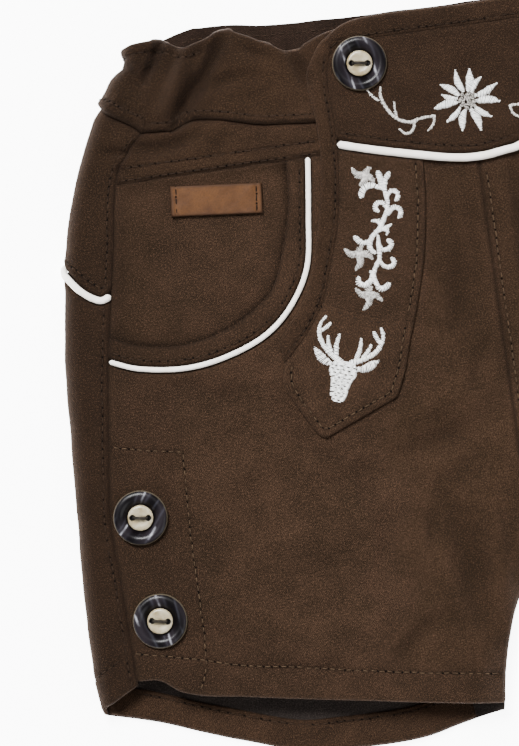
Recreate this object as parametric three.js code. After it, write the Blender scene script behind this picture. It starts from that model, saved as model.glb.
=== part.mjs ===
// Short lederhosen for a small child, laid flat on their back.
// Millimetres: x runs across, y up to the waist, z up from the surface they lie on.
// Until the last lines, x = 0 is the centre front and y = 0 the point of the flap's piping.
import * as THREE from 'three';

// ---------------------------------------------------------------- driving sizes
const CLOTH = 1.2;            // one layer of the suede-like cloth
const BAND = 2;               // folded waistband with its elastic
const HEM = 1.9;              // turned-in hem of the front legs
const GAP = 0.3;              // between pieces at a seam, and between layers
const FOLD_RADIUS = 5.6;      // side fold, where the back wraps round to the front
const LOFT = 1.6;             // how far the front swells above its side folds
const LOFT_RUN = 45;          // distance from the side fold over which it swells
const CROTCH = -135;          // where the inseams meet
const INSEAM_RUN = 12;        // width of the roll down to the inseam
const FRONT_AT_INSEAM = 7.3;  // height of the front's face at the inseam
const BACK_AT_INSEAM = 4.1;   // height of the back's face at the inseam
const HIP_SEAM = 7.3;         // lower seam of the hip band
const POCKET_CORD = 0.95;     // radii of the white piping cords
const FLAP_CORD = 1.3;
const YOKE_CORD = 1.15;
const CORD_END = 0.7;         // where a cord stops short of the seam that it runs into
const CORD_PROUD = 0.1;       // how far a cord's middle stands above the cloth's face
const TUCK = 3;               // how far a lower layer runs on under an upper one
const LEFT = -1;
const RIGHT = 1;

// ---------------------------------------------------------------- the cut, in short tables
// Half the width between the side folds, and the side seams' distance from the middle.
const SIDE_FOLD = [
  { y: -190, x: 143 }, { y: -165, x: 147.3 }, { y: -156, x: 148.7 }, { y: -126, x: 148.5 },
  { y: -87, x: 146.3 }, { y: -54, x: 144 }, { y: -28, x: 141.3 }, { y: -5, x: 137 },
  { y: 17, x: 129.4 }, { y: 33.4, x: 121 }, { y: 43.5, x: 114 }, { y: 47, x: 111 }, { y: 55, x: 109 },
];
const SIDE_SEAM = [
  { y: -190, x: 133 }, { y: -155, x: 134.7 }, { y: -121, x: 135.4 }, { y: -107, x: 136 },
  { y: -72, x: 132.4 }, { y: -43, x: 128.3 }, { y: -14, x: 122.8 }, { y: 8.7, x: 118.6 },
  { y: 15, x: 115.6 }, { y: 23, x: 108.4 }, { y: 36, x: 104 }, { y: 55, x: 100 },
];
const INSEAM = [
  { y: -190, x: 17.5 }, { y: -180, x: 16 }, { y: -160, x: 12 }, { y: -145, x: 6 }, { y: CROTCH, x: 0 },
];
// Edges that run across the front, from the middle out to the side seam.
const FRONT_HEM = [
  { x: 15.6, y: -179.2 }, { x: 37.3, y: -175.9 }, { x: 60, y: -172 }, { x: 82.6, y: -168.2 },
  { x: 98.7, y: -165.3 }, { x: 121.2, y: -160.4 }, { x: 127, y: -156.2 }, { x: 134.7, y: -155.2 },
];
const FRONT_WAIST = [
  { x: 0, y: 17 }, { x: 51.4, y: 18.4 }, { x: 61.2, y: 19.4 }, { x: 69, y: 20.2 },
  { x: 84.2, y: 24.1 }, { x: 92.8, y: 25 }, { x: 100, y: 22.6 }, { x: 108.4, y: 23 },
];
const FRONT_TOP = [
  { x: 0, y: 48.5 }, { x: 42.3, y: 47.5 }, { x: 52.3, y: 45 }, { x: 57, y: 43.2 }, { x: 63, y: 46.9 },
  { x: 69.4, y: 50.2 }, { x: 76.7, y: 52.5 }, { x: 84.7, y: 49.8 }, { x: 91.2, y: 48.8 },
  { x: 97.1, y: 52 }, { x: 102, y: 52.7 },
];
// Edges of the back pieces. round: -1 at the centre back or the inseam, 0 on the side fold,
// 1 at the side seam on the front.
const BACK_HEM = [
  { round: -1, y: -181.5 }, { round: -0.89, y: -184.5 }, { round: -0.8, y: -187.2 },
  { round: -0.56, y: -187.5 }, { round: -0.33, y: -179.5 }, { round: -0.25, y: -175.6 },
  { round: -0.14, y: -169.8 }, { round: 0, y: -165 }, { round: 0.5, y: -161 }, { round: 1, y: -156.6 },
];
const YOKE_SEAM = [
  { round: -1, y: 0 }, { round: -0.6, y: -1.5 }, { round: -0.3, y: -6 }, { round: -0.14, y: -12 },
  { round: 0, y: -20.5 }, { round: 0.46, y: -25.3 }, { round: 0.67, y: -28.3 },
  { round: 0.85, y: -29.8 }, { round: 1, y: -28.7 },
];
const BACK_WAIST = [
  { round: -1, y: 25 }, { round: -0.7, y: 25.5 }, { round: -0.4, y: 27 }, { round: -0.15, y: 30.5 },
  { round: 0, y: 33.4 }, { round: 0.45, y: 29.3 }, { round: 0.8, y: 25.7 }, { round: 1, y: 23 },
];
const BACK_TOP = [
  { round: -1, y: 51.2 }, { round: -0.45, y: 52.5 }, { round: -0.3, y: 54.2 }, { round: -0.2, y: 54.6 },
  { round: -0.1, y: 53 }, { round: 0, y: 49.5 }, { round: 0.5, y: 51.6 }, { round: 1, y: 52.7 },
];
// Outlines of what is sewn on the viewer's left half, each from top to bottom or left to right.
const POCKET_SEAM = [
  { x: -129.2, y: -50 }, { x: -119.7, y: -53.7 }, { x: -105, y: -55.6 }, { x: -91.2, y: -53.8 },
  { x: -77.4, y: -48.6 }, { x: -67.5, y: -40 }, { x: -60.6, y: -28 }, { x: -57.9, y: -12 },
  { x: -55.4, y: HIP_SEAM },
];
const POCKET_EDGE = [
  { x: -127.6, y: -42.3 }, { x: -119.1, y: -46.2 }, { x: -106, y: -48 }, { x: -93, y: -46 },
  { x: -81.6, y: -40.9 }, { x: -72.6, y: -33.2 }, { x: -67.3, y: -20 }, { x: -63.8, y: -7 },
  { x: -62.7, y: HIP_SEAM },
];
const FLAP_INNER = [
  { x: 0, y: 43 }, { x: -34, y: 43 }, { x: -40.5, y: 41.8 }, { x: -44.3, y: 38 }, { x: -45.6, y: 31 },
  { x: -45.3, y: 18 }, { x: -45.6, y: 5 }, { x: -48.2, y: -13.4 }, { x: -53.8, y: -31.5 },
  { x: -57.3, y: -40.6 }, { x: -63.2, y: -49.4 }, { x: -72.2, y: -58.6 },
];
const FLAP_OUTER = [
  { x: 0, y: 50 }, { x: -32, y: 50.2 }, { x: -43.6, y: 45.8 }, { x: -49.2, y: 40 }, { x: -52.2, y: 31 },
  { x: -51.2, y: 18 }, { x: -51.4, y: 5 }, { x: -54.6, y: -13 }, { x: -60.4, y: -33 },
  { x: -65.4, y: -41.8 }, { x: -69.6, y: -46.8 }, { x: -73, y: -51.2 },
];
const FLAP_POINT = [
  { x: -46, y: 10 }, { x: -33.8, y: 6.7 }, { x: -16.2, y: 2.3 }, { x: -5.3, y: 0.2 }, { x: 0, y: -0.2 },
];
const STRAP_INSIDE = [
  { x: -18.2, y: 2.8 }, { x: -19.2, y: -11.9 }, { x: -22, y: -29.4 }, { x: -25, y: -40.5 },
  { x: -28.3, y: -51 },
];
const STRAP_CROSS = [
  { x: -57.3, y: -40.6 }, { x: -47.8, y: -45.3 }, { x: -39, y: -48.4 }, { x: -28.3, y: -51 },
];
const PATCH_TAIL = [
  { x: -72.2, y: -58.6 }, { x: -73.2, y: -62.5 }, { x: -72.6, y: -68.2 }, { x: -65.2, y: -82.2 },
  { x: -62, y: -84.7 },
];
const PATCH_INSIDE = [
  { x: -28.3, y: -51 }, { x: -30.5, y: -57 }, { x: -33.5, y: -66.5 }, { x: -37.3, y: -74.6 },
];

// Soft troughs (depth above 0) and ridges in the front, each along a line between two points.
const FRONT_CREASES = [
  // waistband, viewer's left
  { x0: -100, y0: 25, x1: -80.5, y1: 55, width: 6.5, depth: 2.9 },
  { x0: -101, y0: 26, x1: -90, y1: 46, width: 4.5, depth: -1.4 },
  { x0: -107, y0: 38, x1: -96, y1: 54, width: 4, depth: 1.8 },
  { x0: -72, y0: 22, x1: -67, y1: 56, width: 7, depth: -1.2 },
  { x0: -59, y0: 52, x1: -56.5, y1: 26, width: 3.6, depth: 2 },
  // waistband, viewer's right
  { x0: 96, y0: 24, x1: 84, y1: 56, width: 6, depth: 2.8 },
  { x0: 103, y0: 28, x1: 98, y1: 56, width: 4.5, depth: 2 },
  { x0: 74, y0: 24, x1: 78, y1: 56, width: 6, depth: 1.6 },
  { x0: 58.5, y0: 50, x1: 57, y1: 28, width: 3.8, depth: 1.8 },
  // legs
  { x0: -23, y0: -112, x1: -20.5, y1: -160, width: 9, depth: 1.4 },
  { x0: -38, y0: -118, x1: -30, y1: -172, width: 11, depth: -0.9 },
  { x0: -4, y0: -60, x1: -10, y1: -128, width: 8, depth: -0.8 },
  { x0: 24, y0: -108, x1: 27, y1: -150, width: 10, depth: 1.2 },
  { x0: 62, y0: -120, x1: 55, y1: -166, width: 14, depth: -0.8 },
  { x0: -92, y0: -76, x1: -64, y1: -106, width: 13, depth: 0.7 },
];
const BACK_CREASES = [
  { x0: -96, y0: 26, x1: -90, y1: 56, width: 7, depth: 1 },
  { x0: -70, y0: 24, x1: -73, y1: 56, width: 7, depth: 0.9 },
  { x0: -47, y0: 22, x1: -45, y1: 55, width: 8, depth: 1 },
  { x0: -22, y0: 22, x1: -19, y1: 55, width: 7, depth: 1 },
  { x0: 4, y0: 22, x1: 2, y1: 55, width: 8, depth: 1 },
  { x0: 28, y0: 22, x1: 31, y1: 55, width: 7, depth: 0.9 },
  { x0: 55, y0: 22, x1: 52, y1: 55, width: 8, depth: 1 },
  { x0: 80, y0: 24, x1: 84, y1: 56, width: 7, depth: 0.9 },
];

const BUTTONS = [
  { name: 'flap_L', x: -34.4, y: 35.3, turn: -8, on: 'flap' },
  { name: 'flap_R', x: 34.4, y: 35.3, turn: 14, on: 'flap' },
  { name: 'leg_upper_L', x: -126.1, y: -102.1, turn: -8, on: 'leg' },
  { name: 'leg_lower_L', x: -124.4, y: -136.5, turn: -10, on: 'leg' },
  { name: 'leg_upper_R', x: 126.1, y: -102.1, turn: 20, on: 'leg' },
  { name: 'leg_lower_R', x: 124.4, y: -136.5, turn: -3, on: 'leg' },
];
const LABEL = { x: -87, y: -2.3, width: 30, height: 10, turn: -5.6, thick: 1.4 };

// ---------------------------------------------------------------- finishes
const finish = (color, roughness) => new THREE.MeshStandardMaterial({ color, roughness, metalness: 0 });
const SUEDE = finish(0x4a372b, 0.95);
const SUEDE_BAND = finish(0x453328, 0.95);
const PIPING = finish(0xf2eeea, 0.7);
const LEATHER = finish(0x966946, 0.6);
const HORN = finish(0x3c404a, 0.25);
const CREAM = finish(0xe2dccb, 0.35);
const THREAD = finish(0x3a3634, 0.9);

// ---------------------------------------------------------------- curves through the tables
const clamp = THREE.MathUtils.clamp;
const lerp = THREE.MathUtils.lerp;
const smooth = (t) => THREE.MathUtils.smoothstep(t, 0, 1);
const range = (count) => Array.from({ length: count }, (_, i) => i);

// The value beside a place in a table whose key column rises, eased through its rows.
function follow(table, key, place, column) {
  let row = 0;
  while (row < table.length - 2 && place > table[row + 1][key]) {
    row += 1;
  }
  const slope = (i) => (table[i + 1][column] - table[i][column]) / (table[i + 1][key] - table[i][key]);
  const here = slope(row);
  const lean = (i) => (slope(i) * here <= 0 ? 0 : 0.5 * (slope(i) + here));
  const first = row === 0 ? here : lean(row - 1);
  const last = row === table.length - 2 ? here : lean(row + 1);
  const span = table[row + 1][key] - table[row][key];
  const t = clamp((place - table[row][key]) / span, 0, 1);
  const bend = t * t * (3 - 2 * t);
  const low = table[row][column];
  return low + (table[row + 1][column] - low) * bend
    + span * (first * t * (1 - t) * (1 - t) - last * t * t * (1 - t));
}

const foldAt = (y) => follow(SIDE_FOLD, 'y', y, 'x');
const seamAt = (y) => follow(SIDE_SEAM, 'y', y, 'x');
const innerAt = (y) => (y >= CROTCH ? 0 : follow(INSEAM, 'y', y, 'x'));
const across = (table, x) => follow(table, 'x', Math.abs(x), 'y');

// Evenly spaced points along a smooth line through an outline, one more than its steps.
function stations(outline, steps) {
  const curve = new THREE.SplineCurve(outline.map((p) => new THREE.Vector2(p.x, p.y)));
  return curve.getSpacedPoints(steps);
}

const mirrored = (points) => points.map((p) => new THREE.Vector2(-p.x, p.y));

// ---------------------------------------------------------------- the lie of the cloth
function creaseDepth(creases, x, y) {
  let sum = 0;
  for (const crease of creases) {
    const dx = crease.x1 - crease.x0;
    const dy = crease.y1 - crease.y0;
    const length = Math.hypot(dx, dy);
    const along = ((x - crease.x0) * dx + (y - crease.y0) * dy) / length;
    const off = Math.abs((x - crease.x0) * dy - (y - crease.y0) * dx) / length;
    if (off < crease.width && along > 0 && along < length) {
      const ends = Math.sin(Math.PI * along / length) ** 0.6;
      sum += crease.depth * ends * 0.5 * (1 + Math.cos(Math.PI * off / crease.width));
    }
  }
  return sum;
}

const inseamRoll = (x, y) => 1 - Math.sin(
  0.5 * Math.PI * clamp((Math.abs(x) - innerAt(y)) / INSEAM_RUN, 0, 1));

function frontHeight(x, y) {
  const fromFold = foldAt(y) - FOLD_RADIUS - Math.abs(x);
  const flat = 2 * FOLD_RADIUS + LOFT * smooth(fromFold / LOFT_RUN);
  const dip = (flat - FRONT_AT_INSEAM) * smooth((-100 - y) / 36) * inseamRoll(x, y);
  return flat - dip - creaseDepth(FRONT_CREASES, x, y) * smooth(fromFold / 5);
}

function backHeight(x, y) {
  const fromFold = foldAt(y) - FOLD_RADIUS - Math.abs(x);
  const rise = BACK_AT_INSEAM * smooth((-112 - y) / 24) * inseamRoll(x, y);
  return rise + creaseDepth(BACK_CREASES, x, y) * smooth(fromFold / 5);
}

// A point on a face of the cloth, moved out by a distance square to it.
function onFace(height, up, x, y, out) {
  const step = 0.5;
  const slopeX = (height(x + step, y) - height(x - step, y)) / (2 * step);
  const slopeY = (height(x, y + step) - height(x, y - step)) / (2 * step);
  const normal = new THREE.Vector3(-slopeX, -slopeY, 1).normalize().multiplyScalar(up);
  return new THREE.Vector3(x, y, height(x, y)).addScaledVector(normal, out);
}

const onFront = (x, y, out) => onFace(frontHeight, 1, x, y, out);
const onBack = (x, y, out) => onFace(backHeight, -1, x, y, out);

// A point on the tube of one side: run is the distance round it from the side fold,
// above 0 towards the side seam on the front and below 0 towards the centre back.
const QUARTER = FOLD_RADIUS * Math.PI / 2;
const runToSeam = (y) => QUARTER + foldAt(y) - FOLD_RADIUS - seamAt(y);
const runToMiddle = (y) => -(QUARTER + foldAt(y) - FOLD_RADIUS - innerAt(y));

function around(side, run, y, out) {
  const centre = foldAt(y) - FOLD_RADIUS;
  if (Math.abs(run) >= QUARTER) {
    const x = side * (centre - (Math.abs(run) - QUARTER));
    return run > 0 ? onFront(x, y, out) : onBack(x, y, out);
  }
  const angle = run / FOLD_RADIUS;
  const reach = FOLD_RADIUS + out;
  return new THREE.Vector3(
    side * (centre + reach * Math.cos(angle)), y, FOLD_RADIUS + reach * Math.sin(angle));
}

// ---------------------------------------------------------------- solids from rows of points
const garment = new THREE.Group();
const pieces = new THREE.Group();
garment.add(pieces);

function addSolid(name, material, vertices, triangles) {
  let volume = 0;
  const product = new THREE.Vector3();
  for (const [a, b, c] of triangles) {
    volume += vertices[a].dot(product.crossVectors(vertices[b], vertices[c]));
  }
  const facing = volume > 0 ? triangles : triangles.map(([a, b, c]) => [a, c, b]);
  const geometry = new THREE.BufferGeometry().setFromPoints(vertices);
  geometry.setIndex(facing.flat());
  geometry.computeVertexNormals();
  const mesh = new THREE.Mesh(geometry, material);
  mesh.name = name;
  pieces.add(mesh);
}

// A wall of cloth between an outer and an inner grid of points, closed along its edges.
function addWall(name, material, outer, inner) {
  const rows = outer.length;
  const columns = outer[0].length;
  const vertices = [...outer.flat(), ...inner.flat()];
  const under = rows * columns;
  const at = (row, column) => row * columns + column;
  const triangles = [];
  const quad = (a, b, c, d) => triangles.push([a, b, c], [a, c, d]);
  for (let row = 0; row < rows - 1; row += 1) {
    for (let column = 0; column < columns - 1; column += 1) {
      const corner = [at(row, column), at(row, column + 1), at(row + 1, column + 1), at(row + 1, column)];
      quad(...corner);
      quad(...corner.map((index) => index + under).reverse());
    }
  }
  const rim = [
    ...range(columns - 1).map((column) => at(0, column)),
    ...range(rows - 1).map((row) => at(row, columns - 1)),
    ...range(columns - 1).map((back) => at(rows - 1, columns - 1 - back)),
    ...range(rows - 1).map((back) => at(rows - 1 - back, 0)),
  ];
  rim.forEach((here, index) => {
    const next = rim[(index + 1) % rim.length];
    quad(here, here + under, next + under, next);
  });
  addSolid(name, material, vertices, triangles);
}

// Rows of plane points filling four edges that meet at their ends.
function fill(top, bottom, left, right) {
  return left.map((start, row) => {
    const v = row / (left.length - 1);
    return top.map((above, column) => {
      const u = column / (top.length - 1);
      const blend = (name) => lerp(above[name], bottom[column][name], v)
        + lerp(start[name], right[row][name], u)
        - lerp(lerp(top[0][name], top[top.length - 1][name], u),
          lerp(bottom[0][name], bottom[bottom.length - 1][name], u), v);
      return new THREE.Vector2(blend('x'), blend('y'));
    });
  });
}

const straight = (from, to, steps) => Array.from({ length: steps + 1 }, (_, i) => (
  new THREE.Vector2(lerp(from.x, to.x, i / steps), lerp(from.y, to.y, i / steps))));

// Draws each edge of a grid in by its own distance, square to the edge.
function drawIn(grid, { top, bottom, left, right }) {
  const rows = grid.length - 1;
  const columns = grid[0].length - 1;
  const loop = [
    ...range(columns).map((i) => ({ r: 0, c: i, before: i ? top : left, after: top })),
    ...range(rows).map((i) => ({ r: i, c: columns, before: i ? right : top, after: right })),
    ...range(columns).map((i) => ({ r: rows, c: columns - i, before: i ? bottom : right, after: bottom })),
    ...range(rows).map((i) => ({ r: rows - i, c: 0, before: i ? left : bottom, after: left })),
  ];
  const points = loop.map(({ r, c }) => grid[r][c].clone());
  const area = points.reduce((sum, p, i) => sum + p.cross(points[(i + 1) % points.length]), 0);
  const inward = (from, to) => new THREE.Vector2(from.y - to.y, to.x - from.x).normalize()
    .multiplyScalar(Math.sign(area));
  const depth = (value, place) => (typeof value === 'function' ? value(place) : value);
  loop.forEach(({ r, c, before, after }, i) => {
    const here = points[i];
    const arriving = inward(points[(i + points.length - 1) % points.length], here);
    const leaving = inward(here, points[(i + 1) % points.length]);
    const turn = arriving.dot(leaving);
    const near = depth(before, here);
    const far = depth(after, here);
    const moved = here.clone();
    if (turn > 0.94) {
      moved.addScaledVector(arriving.add(leaving), 0.5 * (near + far) / (1 + turn));
    } else {
      const spread = 1 - turn * turn;
      moved.addScaledVector(arriving, (near - far * turn) / spread);
      moved.addScaledVector(leaving, (far - near * turn) / spread);
    }
    grid[r][c].copy(moved);
  });
  return grid;
}

// A piece of cloth over part of the front, its wall running between two heights above the face.
function addFrontPiece(name, material, grid, low, high, hem = null) {
  const lift = (out) => grid.map((row, index) => row.map((p) => (
    onFront(p.x, p.y, typeof out === 'function' ? out(index) : out))));
  addWall(name, material, lift(high), lift(hem ? (row) => (row >= hem.fromRow ? high - HEM : low) : low));
}

// A round cord through a line of points, with a ring of vertices square to it at each.
function addCord(name, radius, sides, points, bulges) {
  const vertices = [];
  const triangles = [];
  points.forEach((point, i) => {
    const before = points[Math.max(i - 1, 0)];
    const after = points[Math.min(i + 1, points.length - 1)];
    const along = new THREE.Vector3().subVectors(after, before).normalize();
    const out = bulges[i].clone().addScaledVector(along, -bulges[i].dot(along)).normalize();
    const across = new THREE.Vector3().crossVectors(along, out);
    for (let k = 0; k < sides; k += 1) {
      const angle = 2 * Math.PI * k / sides;
      vertices.push(point.clone()
        .addScaledVector(out, radius * Math.cos(angle))
        .addScaledVector(across, radius * Math.sin(angle)));
    }
  });
  for (let i = 0; i < points.length - 1; i += 1) {
    for (let k = 0; k < sides; k += 1) {
      const a = i * sides + k;
      const b = i * sides + (k + 1) % sides;
      triangles.push([a, b, b + sides], [a, b + sides, a + sides]);
    }
  }
  const last = (points.length - 1) * sides;
  for (let k = 1; k < sides - 1; k += 1) {
    triangles.push([0, k + 1, k], [last, last + k, last + k + 1]);
  }
  addSolid(name, PIPING, vertices, triangles);
}

// ---------------------------------------------------------------- front pieces
const POCKET_STEPS = 16;
const HIP_STEPS = 6;
const WAIST_STEPS = 22;
const HALF_GAP = GAP / 2;
const POCKET_CLEAR = POCKET_CORD + 1.6 * GAP;
const FLAP_CLEAR = FLAP_CORD + 1.6 * GAP;
const YOKE_CLEAR = YOKE_CORD + 1.6 * GAP;
const sides = [{ sign: LEFT, tag: 'L' }, { sign: RIGHT, tag: 'R' }];
const turned = (sign, points) => (sign === LEFT ? points : mirrored(points));

const pocketSeam = stations(POCKET_SEAM, POCKET_STEPS);
const pocketEdge = stations(POCKET_EDGE, POCKET_STEPS);
const hipSeam = straight(pocketSeam[POCKET_STEPS], new THREE.Vector2(0, HIP_SEAM), HIP_STEPS);

function addFrontLeg({ sign, tag }) {
  const steps = POCKET_STEPS + HIP_STEPS;
  const rows = 10;
  const top = [...pocketSeam, ...hipSeam.slice(1)];
  const sideStart = pocketSeam[0];
  const left = Array.from({ length: rows + 1 }, (_, i) => {
    const y = lerp(sideStart.y, across(FRONT_HEM, 134.7), i / rows);
    return new THREE.Vector2(i === 0 ? sideStart.x : -seamAt(y), y);
  });
  const right = Array.from({ length: rows + 1 }, (_, i) => {
    const y = lerp(HIP_SEAM, across(FRONT_HEM, 15.6), i / rows);
    return new THREE.Vector2(-innerAt(y), y);
  });
  const bottom = Array.from({ length: steps + 1 }, (_, i) => {
    const x = lerp(left[rows].x, right[rows].x, i / steps);
    return new THREE.Vector2(x, across(FRONT_HEM, x));
  });
  const grid = fill(top, bottom, left, right);
  drawIn(grid, {
    top: (p) => (p.x < pocketSeam[POCKET_STEPS].x + 0.1 ? POCKET_CLEAR : HALF_GAP),
    bottom: 0,
    left: HALF_GAP,
    right: HALF_GAP,
  });
  const placed = grid.map((row) => turned(sign, row));
  addFrontPiece(`front_leg_${tag}`, SUEDE, placed, -CLOTH, 0, { fromRow: rows - 1 });
}

function addPocket({ sign, tag }) {
  // the panel behind the opening, tucked under the facing, the hip band and the side strip
  const corner = 10;
  const sideTop = new THREE.Vector2(-seamAt(HIP_SEAM + TUCK) + 0.4, HIP_SEAM + TUCK);
  const bottom = pocketEdge.slice(0, corner + 1);
  const rows = POCKET_STEPS - corner;
  const right = [...pocketEdge.slice(corner).reverse()];
  right[0] = new THREE.Vector2(pocketEdge[POCKET_STEPS].x, HIP_SEAM + TUCK);
  const left = Array.from({ length: rows + 1 }, (_, i) => {
    const y = lerp(sideTop.y, pocketEdge[0].y, i / rows);
    return new THREE.Vector2(i === rows ? pocketEdge[0].x : -seamAt(y), y);
  });
  const top = straight(left[0], right[0], corner);
  const panel = drawIn(fill(top, bottom, left, right), { top: 0, bottom: -TUCK, left: GAP, right: -TUCK });
  const low = -CLOTH - GAP;
  addFrontPiece(`pocket_panel_${tag}`, SUEDE, panel.map((row) => turned(sign, row)), low - CLOTH, low);

  const facing = drawIn([pocketEdge.map((p) => p.clone()), pocketSeam.map((p) => p.clone())], {
    top: 0, bottom: POCKET_CLEAR, left: HALF_GAP, right: HALF_GAP,
  });
  addFrontPiece(`pocket_facing_${tag}`, SUEDE, facing.map((row) => turned(sign, row)), -CLOTH, 0);

  const route = turned(sign, pocketSeam.map((p) => p.clone()));
  route[0].x -= sign * CORD_END;
  route[POCKET_STEPS].y -= CORD_END;
  addCord(`pocket_piping_${tag}`, POCKET_CORD, 8, route.map((p) => onFront(p.x, p.y, CORD_PROUD)),
    route.map(() => new THREE.Vector3(0, 0, 1)));
}

function addHipBand({ sign, tag }) {
  const columns = WAIST_STEPS;
  const rows = 4;
  const left = Array.from({ length: rows + 1 }, (_, i) => {
    const y = lerp(across(FRONT_WAIST, 108.4), HIP_SEAM, i / rows);
    return new THREE.Vector2(-seamAt(y), y);
  });
  const right = straight(new THREE.Vector2(0, across(FRONT_WAIST, 0)), new THREE.Vector2(0, HIP_SEAM), rows);
  const top = straight(left[0], right[0], columns);
  top.forEach((p) => p.setY(across(FRONT_WAIST, p.x)));
  const grid = drawIn(fill(top, straight(left[rows], right[rows], columns), left, right), {
    top: HALF_GAP, bottom: HALF_GAP, left: GAP, right: HALF_GAP,
  });
  addFrontPiece(`hip_band_${tag}`, SUEDE, grid.map((row) => turned(sign, row)), -CLOTH, 0);
}

function addWaistbandFront({ sign, tag }) {
  const columns = WAIST_STEPS;
  const rows = 4;
  const sideX = seamAt(38);
  const left = Array.from({ length: rows + 1 }, (_, i) => {
    const y = lerp(across(FRONT_TOP, sideX), across(FRONT_WAIST, 108.4), i / rows);
    return new THREE.Vector2(-seamAt(y), y);
  });
  const right = straight(new THREE.Vector2(0, across(FRONT_TOP, 0)),
    new THREE.Vector2(0, across(FRONT_WAIST, 0)), rows);
  const edge = (table, from) => straight(from, new THREE.Vector2(0, 0), columns)
    .map((p) => new THREE.Vector2(p.x, across(table, p.x)));
  const grid = drawIn(fill(edge(FRONT_TOP, left[0]), edge(FRONT_WAIST, left[rows]), left, right), {
    top: 0, bottom: HALF_GAP, left: HALF_GAP, right: HALF_GAP,
  });
  addFrontPiece(`waistband_front_${tag}`, SUEDE_BAND, grid.map((row) => turned(sign, row)), -BAND, 0);
}

// ---------------------------------------------------------------- flap and straps
const ON_FRONT = { low: GAP, high: GAP + CLOTH };
const FLAP_STEPS = 30;
const flapInner = stations(FLAP_INNER, FLAP_STEPS);
const flapOuter = stations(FLAP_OUTER, FLAP_STEPS);
const TOP_BAND_STEPS = 9;      // the top band's share of the border, from the centre to the corner
const nearest = (points, place) => points.reduce((best, p, i) => (
  p.distanceTo(place) < points[best].distanceTo(place) ? i : best), 0);

function addFlap() {
  const corner = TOP_BAND_STEPS;
  const point = stations(FLAP_POINT, 8);
  const low = nearest(flapInner, point[0]);
  flapInner[low].copy(point[0]).setX(flapInner[low].x);
  point[0].copy(flapInner[low]);
  const sideEdge = flapInner.slice(corner, low + 1);
  const topEdge = flapInner.slice(0, corner + 1).reverse();
  const whole = (line) => [...line, ...mirrored(line).reverse().slice(1)];
  const top = whole(stations(topEdge, 8));
  const bottom = whole(point);
  const panel = drawIn(fill(top, bottom, sideEdge, mirrored(sideEdge)), {
    top: HALF_GAP, bottom: FLAP_CLEAR, left: HALF_GAP, right: HALF_GAP,
  });
  addFrontPiece('flap_panel', SUEDE, panel, ON_FRONT.low, ON_FRONT.high);

  const topInner = whole(topEdge);
  const topOuter = whole(flapOuter.slice(0, corner + 1).reverse());
  const topBand = drawIn([topOuter, topInner], { top: 0, bottom: HALF_GAP, left: HALF_GAP, right: HALF_GAP });
  addFrontPiece('flap_top_band', SUEDE_BAND, topBand, ON_FRONT.low, ON_FRONT.high);

  const half = point.map((p) => p.clone());
  half[0].lerp(half[1], CORD_END / half[0].distanceTo(half[1]));
  const cord = whole(half);
  addCord('flap_piping', FLAP_CORD, 8, cord.map((p) => onFront(p.x, p.y, GAP + FLAP_CORD)),
    cord.map(() => new THREE.Vector3(0, 0, 1)));
  return low;
}

function addSideBand({ sign, tag }) {
  const inner = flapInner.slice(TOP_BAND_STEPS).map((p) => p.clone());
  const outer = flapOuter.slice(TOP_BAND_STEPS).map((p) => p.clone());
  const grid = drawIn([outer, inner], { top: 0, bottom: HALF_GAP, left: HALF_GAP, right: 0 });
  addFrontPiece(`flap_side_band_${tag}`, SUEDE_BAND, grid.map((row) => turned(sign, row)),
    ON_FRONT.low, ON_FRONT.high);
}

function addStrap({ sign, tag }, low) {
  const end = nearest(flapInner, new THREE.Vector2(STRAP_CROSS[0].x, STRAP_CROSS[0].y));
  const left = flapInner.slice(low, end + 1).map((p) => p.clone());
  const rows = left.length - 1;
  const cross = stations(STRAP_CROSS, 4);
  cross[0].copy(left[rows]);
  const point = stations(FLAP_POINT, 8);
  const top = straight(left[0], new THREE.Vector2(STRAP_INSIDE[0].x, STRAP_INSIDE[0].y), 4);
  top.slice(1).forEach((p) => p.setY(pointHeight(point, p.x)));
  const strap = drawIn(fill(top, cross, left, stations(STRAP_INSIDE, rows)), {
    top: FLAP_CLEAR, bottom: HALF_GAP, left: HALF_GAP, right: 0,
  });
  addFrontPiece(`strap_${tag}`, SUEDE, strap.map((row) => turned(sign, row)), ON_FRONT.low, ON_FRONT.high);

  const tail = stations(PATCH_TAIL, 4).slice(1);
  const patchLeft = [...flapInner.slice(end).map((p) => p.clone()), ...tail];
  const patchRows = patchLeft.length - 1;
  const bottom = straight(patchLeft[patchRows], PATCH_INSIDE[PATCH_INSIDE.length - 1], 4);
  const patchRight = stations(PATCH_INSIDE, patchRows);
  const patch = drawIn(fill(cross.map((p) => p.clone()), bottom, patchLeft, patchRight), {
    top: HALF_GAP, bottom: 0, left: HALF_GAP, right: 0,
  });
  addFrontPiece(`strap_patch_${tag}`, SUEDE, patch.map((row) => turned(sign, row)),
    ON_FRONT.low, ON_FRONT.high);
}

// The height of the flap's point line at a distance across.
function pointHeight(line, x) {
  const i = clamp(line.findIndex((p) => p.x > x), 1, line.length - 1);
  const share = (x - line[i - 1].x) / (line[i].x - line[i - 1].x);
  return lerp(line[i - 1].y, line[i].y, share);
}

// ---------------------------------------------------------------- back pieces
// Places round the tube: wide steps over the back, short ones over the fold, and the front strip.
const BACK_STEPS = 10;
const BACK_SPREAD = 1.35;      // closer columns by the inseam, where the cloth turns up
const FOLD_STEPS = 6;
const STRIP_STEPS = 2;
const COLUMNS = BACK_STEPS + FOLD_STEPS + STRIP_STEPS;

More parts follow.
